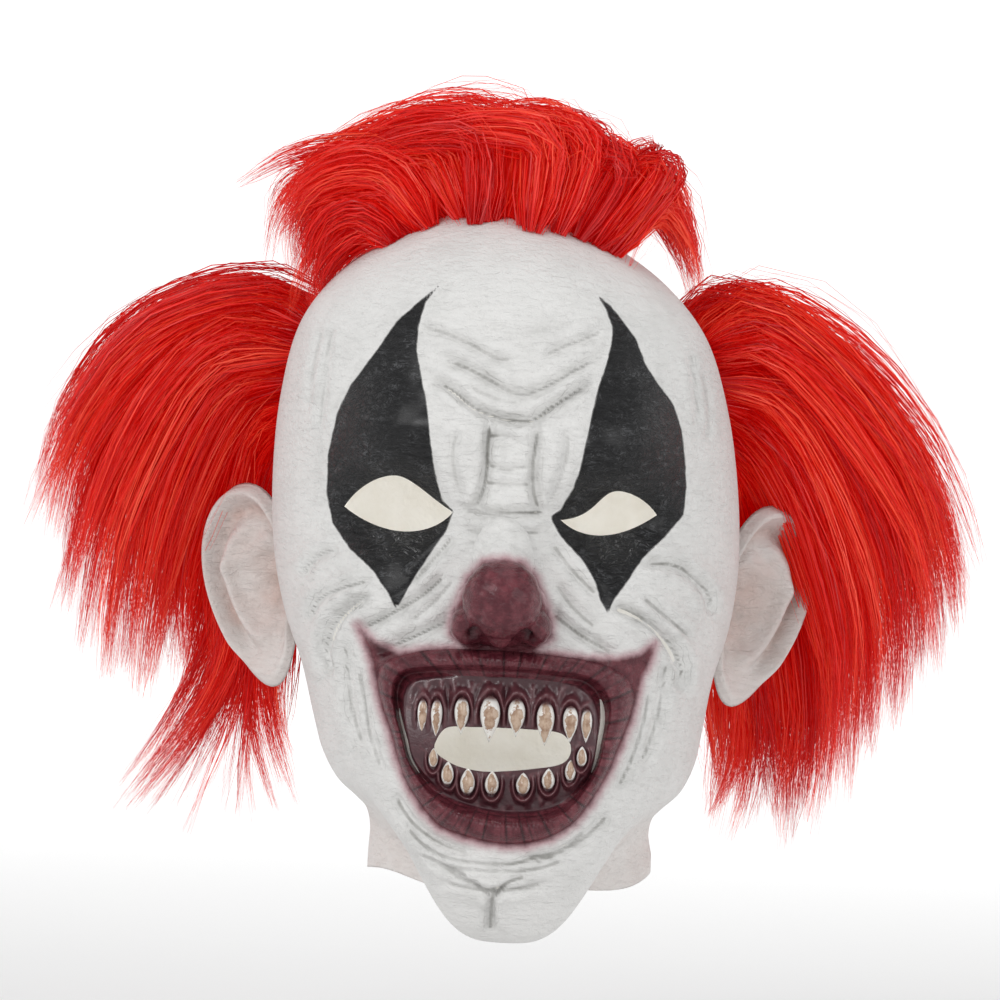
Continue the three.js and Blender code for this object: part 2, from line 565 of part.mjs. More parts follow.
// An ear: a dished flap in its own plane, rooted in the side of the head.
function earSolid(side) {
  const around = 12;
  const height = (a) => 0.5 * EAR_HIGH * Math.sin(a) * (1 - 0.06 * Math.cos(a));
  const reach = (a) => 0.5 * EAR_WIDE * (Math.cos(a) * (1 + 0.22 * Math.sin(a)) + 0.1);
  const rings = [
    { share: 0.3, y: 0.1 },
    { share: 0.72, y: 0.05 },
    { share: 0.9, y: -0.42 },
    { share: 1.0, y: 0.0 },
    { share: 0.85, y: 0.55 },
    { share: 0.35, y: 0.8 },
  ];
  const rootTurn = side * (Math.PI / 2 + 0.1);
  const root = headPoint(rootTurn, heightShare(rootTurn, EAR_Z));
  const frame = new THREE.Matrix4().makeTranslation(root.x, root.y, EAR_Z)
    .multiply(new THREE.Matrix4().makeRotationZ(side * radians(EAR_BACK_ANGLE)))
    .multiply(new THREE.Matrix4().makeRotationY(side * radians(EAR_TILT)));
  const loops = rings.map(({ share, y }) => {
    const loop = [];
    for (let i = 0; i < around; i += 1) {
      const a = (2 * Math.PI * i) / around;
      const p = new THREE.Vector3(side * (share * reach(a) + 0.3 * EAR_WIDE), y * EAR_THICK, share * height(a));
      loop.push(p.applyMatrix4(frame));
    }
    return loop;
  });
  return loftSolid(loops);
}

// A pointed tooth: round in section, widest past its middle, tip down for long > 0 and up for long < 0.
function toothSolid(tooth, up, grow) {
  const x = GAPE_X + tooth.x * GAPE_HALF_WIDE;
  const z = GAPE_Z + tooth.z * GAPE_HALF_HIGH;
  const long = tooth.long * TOOTH_LONG + 2 * grow;
  const radius = 0.5 * tooth.wide * TOOTH_WIDE + grow;
  const profile = [
    { share: 0, wide: 0 },
    { share: 0.2, wide: 0.7 },
    { share: 0.6, wide: 1 },
    { share: 1, wide: 0 },
  ].map((p) => new THREE.Vector2(radius * p.wide, long * (p.share - 0.5)));
  const lathe = new THREE.LatheGeometry(profile, 6);
  lathe.scale(1, 1, 0.75);
  lathe.rotateX(up ? Math.PI / 2 : -Math.PI / 2);
  const y = gumY(x, z) - 0.75 * 0.5 * tooth.wide * TOOTH_WIDE + TOOTH_SOCKET;
  lathe.translate(x, y, z);
  return solidOf(lathe);
}

// A lock of hair: a tapering tube along a curve through guide points.
function lockSolid(guides, thick) {
  const curve = new THREE.CatmullRomCurve3(guides);
  const steps = 5;
  const sides = 5;
  const taper = [0.6, 1.0, 1.1, 0.95, 0.6, 0.12];
  const loops = [];
  for (let i = 0; i <= steps; i += 1) {
    const share = i / steps;
    const centre = curve.getPoint(share);
    const along = curve.getTangent(share);
    const across = new THREE.Vector3(0, 1, 0).cross(along).normalize();
    const through = along.clone().cross(across);
    const radius = 0.5 * thick * LOCK_THICK * taper[i];
    const loop = [];
    for (let k = 0; k < sides; k += 1) {
      const a = (2 * Math.PI * k) / sides;
      loop.push(centre.clone()
        .addScaledVector(across, radius * Math.cos(a))
        .addScaledVector(through, 0.8 * radius * Math.sin(a)));
    }
    loops.push(loop);
  }
  return loftSolid(loops);
}

// The height share t whose point at this turn has height z.
function heightShare(turn, z) {
  let low = 0;
  let high = 0.75;
  for (let i = 0; i < 30; i += 1) {
    const middle = (low + high) / 2;
    if (headPoint(turn, middle).z > z) low = middle;
    else high = middle;
  }
  return low;
}

// The patch of cloth that a tuft is sewn to, over turns and height shares of the head.
function patchSolid(turnFrom, turnTo, tFrom, tTo, columns, rows) {
  const layer = (lift) => {
    const loop = [];
    const add = (u, v) => {
      const turn = mix(turnFrom, turnTo, u);
      const t = mix(tFrom, tTo, v);
      loop.push(headPoint(turn, t).addScaledVector(headNormal(turn, t), lift));
    };
    for (let v = 0; v <= rows; v += 1) for (let u = 0; u <= columns; u += 1) add(u / columns, v / rows);
    return loop;
  };
  const points = [...layer(0), ...layer(SEAT_GAP + HAIR_BACKING)];
  const wide = columns + 1;
  const size = wide * (rows + 1);
  const faces = [];
  const quad = (a, b, c, d) => faces.push([a, b, c], [a, c, d]);
  for (let v = 0; v < rows; v += 1) {
    for (let u = 0; u < columns; u += 1) {
      const a = v * wide + u;
      quad(a, a + 1, a + wide + 1, a + wide);
      quad(a + size, a + size + wide, a + size + wide + 1, a + size + 1);
    }
  }
  for (let u = 0; u < columns; u += 1) {
    const foot = rows * wide + u;
    quad(u, u + size, u + size + 1, u + 1);
    quad(foot, foot + 1, foot + size + 1, foot + size);
  }
  for (let v = 0; v < rows; v += 1) {
    const left = v * wide;
    const right = left + columns;
    quad(left, left + wide, left + wide + size, left + size);
    quad(right, right + size, right + wide + size, right + wide);
  }
  return closedSolid(points, faces);
}

// A tuft at the side of the head.
function sideTuft(side, locks) {
  const rootZs = locks.map((lock) => lock.rootZ * FACE_DROP);
  const turns = locks.map((lock) => radians(90 + lock.turn));
  const middleTurn = (Math.min(...turns) + Math.max(...turns)) / 2;
  const tTop = heightShare(middleTurn, Math.max(...rootZs) + 0.3 * LOCK_THICK);
  const tFoot = heightShare(middleTurn, Math.min(...rootZs) - 0.3 * LOCK_THICK);
  let tuft = patchSolid(side * (Math.min(...turns) - 0.08), side * (Math.max(...turns) + 0.08), tTop, tFoot, 2, 4);
  for (const lock of locks) {
    const turn = side * radians(90 + lock.turn);
    const t = heightShare(turn, lock.rootZ * FACE_DROP);
    const root = headPoint(turn, t);
    const out = side * lock.out * TUFT_SPREAD;
    const drift = lock.back * TUFT_SPREAD;
    const lift = lock.lift * TUFT_SPREAD;
    const fall = lock.fall * TUFT_FALL;
    const step = (x, y, z) => root.clone().add(new THREE.Vector3(x, y, z));
    const guides = [
      step(0, 0, 0),
      step(0.36 * out + side * ROOT_REACH * TUFT_SPREAD, 0.3 * drift, lift),
      step(0.78 * out + side * ROOT_REACH * TUFT_SPREAD, 0.7 * drift, 0.5 * lift - 0.16 * fall),
      step(out + side * 0.5 * ROOT_REACH * TUFT_SPREAD, drift, -0.52 * fall),
      step(out, drift, -fall),
    ];
    tuft = tuft.add(lockSolid(guides, lock.thick));
  }
  return tuft;
}

// The tuft over the crown.
function crestTuft() {
  const turnAt = 0.0001;
  const tRoot = heightShare(turnAt, -0.12 * CREST_SPREAD);
  const reach = Math.abs(headPoint(Math.PI / 2, tRoot).x);
  let tuft = patchSolid(-1.25, 1.25, 0.45 * tRoot, tRoot, 8, 1);
  for (const lock of CREST_LOCKS) {
    const turn = Math.asin(THREE.MathUtils.clamp((lock.across * CREST_SPREAD) / reach, -0.95, 0.95));
    const root = headPoint(turn, 0.8 * tRoot);
    const tip = lock.tipAcross * CREST_SPREAD;
    const drift = lock.back * CREST_SPREAD;
    const guides = [
      root.clone(),
      new THREE.Vector3(mix(root.x, tip, 0.25), root.y + 0.1 * drift, mix(root.z, lock.rise * CREST_RISE, 0.6)),
      new THREE.Vector3(mix(root.x, tip, 0.6), root.y + 0.6 * drift, 0.7 * lock.rise * CREST_RISE),
      new THREE.Vector3(tip, root.y + drift + 0.1 * CREST_SPREAD, lock.tipZ * CREST_RISE),
    ];
    tuft = tuft.add(lockSolid(guides, lock.thick));
  }
  return tuft;
}

// The latex skin: head, ears and nose as one hollow moulding, with lips, gums, eye holes and tooth sockets.
function skinSolid() {
  const cutDepth = 2 * FACE_REACH;
  let skin = headSolid(OUTER, 0, 0);
  const hollow = headSolid(INNER, -WALL, 10 * WALL).add(noseSolid(WALL));
  for (const side of [-1, 1]) {
    skin = skin.add(earSolid(side)).add(wingSolid(side));
  }
  skin = skin.add(noseSolid(0)).subtract(hollow);
  const outline = (grow) => Array.from({ length: LIP_STEPS }, (_, i) => mouthPoint(lipAngle(i), grow));
  skin = skin.subtract(prismSolid(outline(0), -cutDepth, -0.35 * FACE_REACH));
  skin = skin.add(lipSolid()).add(gumSolid());
  for (const side of [-1, 1]) {
    skin = skin.subtract(prismSolid(eyeOutline(side), -cutDepth, -0.3 * FACE_REACH));
    skin = skin.subtract(nostrilHole(side));
  }
  for (const [teeth, up] of [[UPPER_TEETH, false], [LOWER_TEETH, true]]) {
    for (const tooth of teeth) skin = skin.subtract(toothSolid(tooth, up, SEAT_GAP));
  }
  return skin;
}

// The largest connected body of a solid, for a cut that leaves a crumb beside it.
function largestBody(solid) {
  return solid.decompose().sort((a, b) => b.volume() - a.volume())[0];
}

function addPiece(group, name, solid, finish) {
  const mesh = new THREE.Mesh(geometryOf(solid), new THREE.MeshStandardMaterial(COLOURS[finish]));
  mesh.name = name;
  group.add(mesh);
}

const mask = new THREE.Group();
addPiece(mask, 'latex_skin', largestBody(skinSolid()), 'latex');
UPPER_TEETH.forEach((tooth, i) => addPiece(mask, `upper_tooth_${i + 1}`, toothSolid(tooth, false, 0), 'teeth'));
LOWER_TEETH.forEach((tooth, i) => addPiece(mask, `lower_tooth_${i + 1}`, toothSolid(tooth, true, 0), 'teeth'));

let keepOut = headSolid(OUTER, SEAT_GAP, 0);
for (const side of [-1, 1]) keepOut = keepOut.add(earSolid(side));
addPiece(mask, 'crest_hair', largestBody(crestTuft().subtract(keepOut)), 'hair');
addPiece(mask, 'left_hair', largestBody(sideTuft(-1, LEFT_LOCKS).subtract(keepOut)), 'hair');
addPiece(mask, 'right_hair', largestBody(sideTuft(1, RIGHT_LOCKS).subtract(keepOut)), 'hair');

export default mask;
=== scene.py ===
"""Looks of a full-head latex clown mask: painted skin, bare teeth and three tufts of red hair.

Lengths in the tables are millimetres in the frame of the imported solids, and every mesh is made in metres.
Places on the face are given as seen straight from the front, and FrontView turns them into places in space.
"""
from __future__ import annotations

import json
import logging
import math
from dataclasses import dataclass, field
from enum import Enum

import bpy
import numpy as np
from mathutils import Matrix, Vector

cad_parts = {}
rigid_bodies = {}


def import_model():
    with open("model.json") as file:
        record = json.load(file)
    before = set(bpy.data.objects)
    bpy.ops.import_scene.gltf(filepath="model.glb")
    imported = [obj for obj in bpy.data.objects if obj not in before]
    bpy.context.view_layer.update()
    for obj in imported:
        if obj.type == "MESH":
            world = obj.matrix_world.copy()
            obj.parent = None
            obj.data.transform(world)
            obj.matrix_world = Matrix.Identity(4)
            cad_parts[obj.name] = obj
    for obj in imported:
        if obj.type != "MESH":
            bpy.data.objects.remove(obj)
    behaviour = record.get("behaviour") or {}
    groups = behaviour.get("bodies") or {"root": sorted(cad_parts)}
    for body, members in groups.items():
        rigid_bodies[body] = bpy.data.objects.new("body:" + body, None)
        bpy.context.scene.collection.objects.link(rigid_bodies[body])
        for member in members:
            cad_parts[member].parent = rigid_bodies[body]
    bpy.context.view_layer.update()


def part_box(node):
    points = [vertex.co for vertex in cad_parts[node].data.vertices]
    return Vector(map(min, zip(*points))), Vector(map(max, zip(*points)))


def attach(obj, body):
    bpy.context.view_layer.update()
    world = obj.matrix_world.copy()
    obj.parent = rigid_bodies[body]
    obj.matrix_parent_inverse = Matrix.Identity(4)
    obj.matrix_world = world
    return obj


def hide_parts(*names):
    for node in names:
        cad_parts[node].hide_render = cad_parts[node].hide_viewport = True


LOG = logging.getLogger("clown_mask")
MM = 0.001
BODY = "root"
PAINT_REACH = 30.0
Array = np.ndarray
Outline = tuple[tuple[float, float], ...]


class Slot(Enum):
    """Material slots of the record."""

    LATEX = "latex"
    TEETH = "teeth"
    HAIR = "hair"


def ease(value: Array, low: float, high: float) -> Array:
    """Return a smooth step from 0 at low to 1 at high.

    Args:
        value: Numbers to ease.
        low: Value where the step starts.
        high: Value where the step ends.

    Returns:
        The eased shares.
    """
    share = np.clip((value - low) / (high - low), 0.0, 1.0)
    return share * share * (3.0 - 2.0 * share)


def bell(value: Array) -> Array:
    """Return a bell curve that is 1 at nought."""
    return np.exp(-np.square(value))


def curve_through(points: Outline | Array, steps: int, closed: bool) -> Array:
    """Sample a smooth curve through points.

    Args:
        points: Knots of the curve, two or three numbers each.
        steps: Number of samples.
        closed: Whether the curve runs back to its start.

    Returns:
        The samples, one row each.
    """
    knots = np.asarray(points, float)
    count = len(knots)
    spans = count if closed else count - 1
    place = np.linspace(0.0, spans, steps, endpoint=not closed)
    index = np.minimum(place.astype(int), spans - 1)
    f = (place - index)[:, None]

    def knot(k: Array) -> Array:
        """Return the knots of these numbers."""
        return knots[k % count] if closed else knots[np.clip(k, 0, count - 1)]

    a, b, c, d = knot(index - 1), knot(index), knot(index + 1), knot(index + 2)
    cubic = 3.0 * b - a - 3.0 * c + d
    return 0.5 * (2.0 * b + (c - a) * f + (2.0 * a - 5.0 * b + 4.0 * c - d) * f**2 + cubic * f**3)


def path_distance(places: Array, path: Array) -> tuple[Array, Array]:
    """Measure how far places lie from a path.

    Args:
        places: Flat places, one row each.
        path: Points of the path in order.

    Returns:
        The distance to the path and the share of its points passed at the nearest one.
    """
    best = np.full(len(places), 1e6)
    share = np.zeros(len(places))
    for i in range(len(path) - 1):
        run = path[i + 1] - path[i]
        along = np.clip(((places - path[i]) @ run) / max(float(run @ run), 1e-9), 0.0, 1.0)
        far = np.linalg.norm(places - path[i] - along[:, None] * run, axis=1)
        near = far < best
        best[near] = far[near]
        share[near] = (i + along[near]) / (len(path) - 1)
    return best, share


def depth_inside(places: Array, outline: Array) -> Array:
    """Measure how deep places lie inside a closed outline, less than nought outside it.

    Args:
        places: Flat places, one row each.
        outline: Points round the outline.

    Returns:
        The depth of each place.
    """
    ring = np.vstack([outline, outline[:1]])
    low = ring.min(axis=0) - PAINT_REACH
    high = ring.max(axis=0) + PAINT_REACH
    near = np.all((places > low) & (places < high), axis=1)
    depth = np.full(len(places), -PAINT_REACH)
    local = places[near]
    far, _ = path_distance(local, ring)
    inside = np.zeros(len(local), bool)
    for (x0, z0), (x1, z1) in zip(ring[:-1], ring[1:]):
        spans = (z0 > local[:, 1]) != (z1 > local[:, 1])
        if spans.any():
            crossing = x0 + (local[:, 1] - z0) * (x1 - x0) / (z1 - z0 if z1 != z0 else 1e-9)
            inside ^= spans & (local[:, 0] < crossing)
    depth[near] = np.where(inside, far, -far)
    return depth


def mesh_object(name: str, points: Array, quads: Array, smooth: bool = True) -> bpy.types.Object:
    """Make an object of points and faces of four corners, or of three where the last two are alike.

    Args:
        name: Name of the piece.
        points: Places in millimetres, one row each.
        quads: Corner numbers, four a row.
        smooth: Whether the faces are shaded smooth.

    Returns:
        The new object, linked to the scene.
    """
    mesh = bpy.data.meshes.new(name)
    quads = np.asarray(quads, np.int32)
    thin = quads[:, 3] == quads[:, 2]
    sizes = np.where(thin, 3, 4).astype(np.int32)
    keep = np.ones(quads.shape, bool)
    keep[:, 3] = ~thin
    corners = quads[keep]
    starts = np.concatenate([[0], np.cumsum(sizes)[:-1]]).astype(np.int32)
    mesh.vertices.add(len(points))
    mesh.vertices.foreach_set("co", (np.asarray(points) * MM).astype(np.float32).ravel())
    mesh.loops.add(len(corners))
    mesh.loops.foreach_set("vertex_index", corners)
    mesh.polygons.add(len(quads))
    mesh.polygons.foreach_set("loop_start", starts)
    mesh.polygons.foreach_set("use_smooth", np.full(len(quads), smooth))
    mesh.update(calc_edges=True)
    mesh.validate()
    piece = bpy.data.objects.new(name, mesh)
    bpy.context.scene.collection.objects.link(piece)
    return piece


def points_of(mesh: bpy.types.Mesh) -> Array:
    """Return a mesh's places in millimetres, one row each."""
    flat = np.empty(3 * len(mesh.vertices), np.float32)
    mesh.vertices.foreach_get("co", flat)
    return flat.reshape(-1, 3).astype(float) / MM


def store(mesh: bpy.types.Mesh, name: str, values: Array) -> None:
    """Keep one number for each point of a mesh, for its material to read, in place of any older one."""
    layer = mesh.attributes.get(name) or mesh.attributes.new(name, "FLOAT", "POINT")
    layer.data.foreach_set("value", values.astype(np.float32))


def choose_only(*pieces: bpy.types.Object) -> None:
    """Select these objects alone and make the first the active one."""
    for other in bpy.context.view_layer.objects:
        other.select_set(False)
    for piece in pieces:
        piece.select_set(True)
    bpy.context.view_layer.objects.active = pieces[0]


def apply_modifier(piece: bpy.types.Object, kind: str, **settings: object) -> None:
    """Add a modifier with these settings and apply it."""
    choose_only(piece)
    modifier = piece.modifiers.new(kind.lower(), kind)
    for key, value in settings.items():
        setattr(modifier, key, value)
    bpy.ops.object.modifier_apply(modifier=modifier.name)


def face_outwards(piece: bpy.types.Object) -> None:
    """Turn all faces of a closed piece outwards."""
    choose_only(piece)
    bpy.ops.object.mode_set(mode="EDIT")
    bpy.ops.mesh.select_all(action="SELECT")
    bpy.ops.mesh.normals_make_consistent(inside=False)
    bpy.ops.object.mode_set(mode="OBJECT")


def grid_faces(rows: int, columns: int, start: int = 0) -> Array:
    """Return the faces between rings of points that close on themselves.

    Args:
        rows: Number of rings.
        columns: Points in a ring.
        start: Number of the first point.

    Returns:
        Corner numbers, four a row.
    """
    row, column = np.meshgrid(np.arange(rows - 1), np.arange(columns), indexing="ij")
    here = start + row * columns + column
    beside = start + row * columns + (column + 1) % columns
    return np.stack([here, beside, beside + columns, here + columns], axis=-1).reshape(-1, 4)


def capped_faces(rows: int, columns: int) -> Array:
    """Return the faces of stacked rings that close at two points, which are numbered after the rings' own.

    Args:
        rows: Number of rings.
        columns: Points in a ring.

    Returns:
        Corner numbers, four a row.
    """
    ring = np.arange(columns)
    following = (ring + 1) % columns
    foot = (rows - 1) * columns
    first, last = (np.full_like(ring, rows * columns + end) for end in (0, 1))
    first_cap = np.stack([ring, first, following, following], axis=1)
    last_cap = np.stack([foot + following, last, foot + ring, foot + ring], axis=1)
    return np.vstack([grid_faces(rows, columns), first_cap, last_cap])


@dataclass
class FrontView:
    """The place that the face is looked at from, in millimetres."""

    far: float = 2300.0
    plane: float = 2200.0
    aim_x: float = -2.2
    aim_z: float = -118.0

    def seen(self, points: Array) -> Array:
        """Return where points in space are seen on the plane of the face."""
        scale = self.plane / (self.far + points[:, 1])
        across = self.aim_x + (points[:, 0] - self.aim_x) * scale
        up = self.aim_z + (points[:, 2] - self.aim_z) * scale
        return np.stack([across, up], axis=1)

    def behind(self, places: Array, y: Array) -> Array:
        """Return the points at depths y that are seen at places on the plane of the face."""
        scale = (self.far + y) / self.plane
        across = self.aim_x + (places[:, 0] - self.aim_x) * scale
        up = self.aim_z + (places[:, 1] - self.aim_z) * scale
        return np.stack([across, np.broadcast_to(y, across.shape), up], axis=1)


@dataclass(frozen=True)
class Section:
    """A loop round the head, as shares of the head's sizes.

    The heights are shares of the face's drop, wide and dip of the half width, front of the face's reach
    and back of the reach of the back of the head.
    """

    z_front: float
    z_side: float
    z_back: float
    wide: float
    front: float
    back: float
    dip: float


SECTIONS = (
    Section(0.01, 0.01, 0.01, 0.0, 0.0, 0.0, 0.9),
    Section(0.002, 0.002, 0.005, 0.24, 0.26, 0.27, 0.9),
    Section(-0.03, -0.028, -0.025, 0.455, 0.52, 0.52, 0.9),
    Section(-0.085, -0.085, -0.075, 0.69, 0.76, 0.73, 0.9),
    Section(-0.16, -0.16, -0.155, 0.862, 0.91, 0.88, 0.9),
    Section(-0.26, -0.262, -0.26, 0.948, 0.985, 0.97, 0.9),
    Section(-0.37, -0.37, -0.37, 0.985, 1.0, 1.0, 0.9),
    Section(-0.48, -0.473, -0.47, 0.985, 0.97, 0.97, 0.9),
    Section(-0.575, -0.555, -0.55, 0.945, 1.01, 0.9, 0.9),
    Section(-0.672, -0.63, -0.62, 0.87, 1.07, 0.83, 0.78),
    Section(-0.775, -0.7, -0.68, 0.825, 1.1, 0.77, 0.66),
    Section(-0.865, -0.755, -0.73, 0.79, 1.09, 0.735, 0.54),
    Section(-0.94, -0.797, -0.765, 0.73, 1.045, 0.71, 0.45),
    Section(-1.0, -0.822, -0.79, 0.65, 0.88, 0.7, 0.405),
    Section(-0.963, -0.838, -0.815, 0.605, 0.66, 0.69, 0.405),
    Section(-0.9, -0.86, -0.838, 0.59, 0.46, 0.69, 0.5),
    Section(-0.94, -0.896, -0.875, 0.6, 0.46, 0.7, 0.7),
)


@dataclass(frozen=True)
class Swelling:
    """A round rise of the face, or a hollow where push is less than nought, in millimetres."""

    x: float
    z: float
    half_wide: float
    half_high: float
    push: float
    paired: bool = True


SWELLINGS = (
    Swelling(47.0, -91.3, 22.5, 18.5, 8.5),
    Swelling(42.0, -123.0, 24.6, 12.7, -11.5),
    Swelling(19.7, -105.6, 8.2, 22.5, 4.5),
    Swelling(0.0, -137.1, 15.7, 20.4, 10.0, False),
    Swelling(54.6, -156.9, 24.6, 20.5, 9.0),
    Swelling(3.5, -211.5, 58.8, 55.0, 9.0, False),
    Swelling(0.0, -285.6, 4.5, 8.9, -3.5, False),
)


@dataclass
class HeadForm:
    """The head's outer surface, given by its turn from the face and a share of the way down."""

    half_wide: float = 99.0
    face_reach: float = 98.0
    back_reach: float = 112.0
    face_drop: float = 296.0
    lean: float = 0.055
    lean_level: float = -115.0
    rim_wave: float = 1.5
    wall: float = 2.8
    view: FrontView = field(default_factory=FrontView)

    def section(self, name: str, t: Array) -> Array:
        """Return one value of the sections at height shares t, on a smooth curve.

        Args:
            name: Field of the sections.
            t: Shares from 0 at the crown to 1 at the rim.

        Returns:
            The values.
        """
        column = np.array([getattr(section, name) for section in SECTIONS])
        last = len(column) - 1
        place = np.clip(t, 0.0, 1.0) * last
        index = np.minimum(place.astype(int), last - 1)
        f = place - index
        a, b, c, d = (column[np.clip(index + k, 0, last)] for k in (-1, 0, 1, 2))
        rise = (c - a) / 2.0 * f * (1.0 - f) ** 2 - (d - b) / 2.0 * f * f * (1.0 - f)
        return b * (1.0 + 2.0 * f) * (1.0 - f) ** 2 + c * f * f * (3.0 - 2.0 * f) + rise

    def relief(self, x: Array, z: Array) -> Array:
        """Return how far the face is pushed forward at x, z."""
        push = np.zeros_like(x)
        for swelling in SWELLINGS:
            across = np.abs(x) if swelling.paired else x
            push += swelling.push * np.exp(
                -np.square((across - swelling.x) / swelling.half_wide)
                - np.square((z - swelling.z) / swelling.half_high)
            )
        return push

    def point(self, turn: Array, t: Array) -> Array:
        """Return points of the surface.

        Args:
            turn: Angles round the head, 0 at the face.
            t: Height shares.

        Returns:
            Places in millimetres, one row each.
        """
        side_x = self.section("wide", t) * self.half_wide * np.sin(turn)
        cosine = np.cos(turn)
        middle = 0.06 * self.back_reach * np.minimum(1.0, 6.0 * t)
        front = self.section("front", t) * self.face_reach + middle
        back = self.section("back", t) * self.back_reach - middle
        y = middle - np.where(cosine > 0.0, front, back) * cosine
        dip = self.section("dip", t) * self.half_wide
        hang = np.where(cosine > 0.0, np.exp(-np.abs(side_x / dip) ** 3.3), 0.0)
        rise = np.where(cosine < 0.0, cosine**2, 0.0)
        z_side = self.section("z_side", t)
        front_drop = (self.section("z_front", t) - z_side) * hang
        back_drop = (self.section("z_back", t) - z_side) * rise
        z = self.face_drop * (z_side + front_drop + back_drop)
        x = side_x - self.lean * (self.face_drop * z_side - self.lean_level)
        facing = ease(cosine, 0.1, 0.6) * ease(0.9 - t, 0.0, 0.1)
        y = y - self.relief(x, z) * facing
        z = z + self.rim_wave * np.sin(5.0 * turn) * ease(t, 0.95, 1.0)
        return np.stack([x, y, z], axis=1)

    def normal(self, turn: Array, t: Array) -> Array:
        """Return the outward directions at points of the surface."""
        d = 0.004
        low = np.maximum(t, 2.0 * d)
        across = self.point(turn + d, low) - self.point(turn - d, low)
        down = self.point(turn, np.minimum(low + d, 1.0)) - self.point(turn, low - d)
        out = np.cross(down, across)
        return out / np.linalg.norm(out, axis=1, keepdims=True)

    def locate(self, places: Array) -> tuple[Array, Array]:
        """Find the surface behind places seen from the front.

        Args:
            places: Flat places on the plane of the face.

        Returns:
            The turn and the height share of each.
        """
        shares = np.linspace(0.05, 0.8, 80)
        heights = self.point(np.zeros_like(shares), shares)[:, 2]
        turn = np.arcsin(np.clip(places[:, 0] / self.half_wide, -0.9, 0.9))
        t = np.interp(-places[:, 1], -heights, shares)
        d = 0.001
        for _ in range(30):
            here = self.view.seen(self.point(turn, t))
            by_turn = (self.view.seen(self.point(turn + d, t)) - here) / d
            by_t = (self.view.seen(self.point(turn, t + d)) - here) / d
            miss = places - here
            det = by_turn[:, 0] * by_t[:, 1] - by_t[:, 0] * by_turn[:, 1]
            det = np.where(np.abs(det) < 1.0, 1.0, det)
            step_turn = (miss[:, 0] * by_t[:, 1] - miss[:, 1] * by_t[:, 0]) / det
            step_t = (miss[:, 1] * by_turn[:, 0] - miss[:, 0] * by_turn[:, 1]) / det
            turn = np.clip(turn + 0.7 * np.clip(step_turn, -0.3, 0.3), -1.4, 1.4)
            t = np.clip(t + 0.7 * np.clip(step_t, -0.05, 0.05), 0.04, 0.79)
        return turn, t

    def face_point(self, places: Array) -> Array:
        """Return the points of the surface behind places seen from the front."""
        return self.point(*self.locate(places))

    def height_share(self, turn: float, z: float) -> float:
        """Return the height share whose point at this turn is at height z."""
        low, high = 0.0, 0.75
        for _ in range(30):
            middle = (low + high) / 2.0
            if self.point(np.array([turn]), np.array([middle]))[0, 2] > z:
                low = middle
            else:
                high = middle
        return low


@dataclass(frozen=True)
class Crease:
    """A furrow of the face along a path seen from the front, in millimetres."""

    path: Outline
    deep: float
    wide: float
    # dark: how much grey wash paint and painted shade lies along the furrow.
    dark: float = 0.6


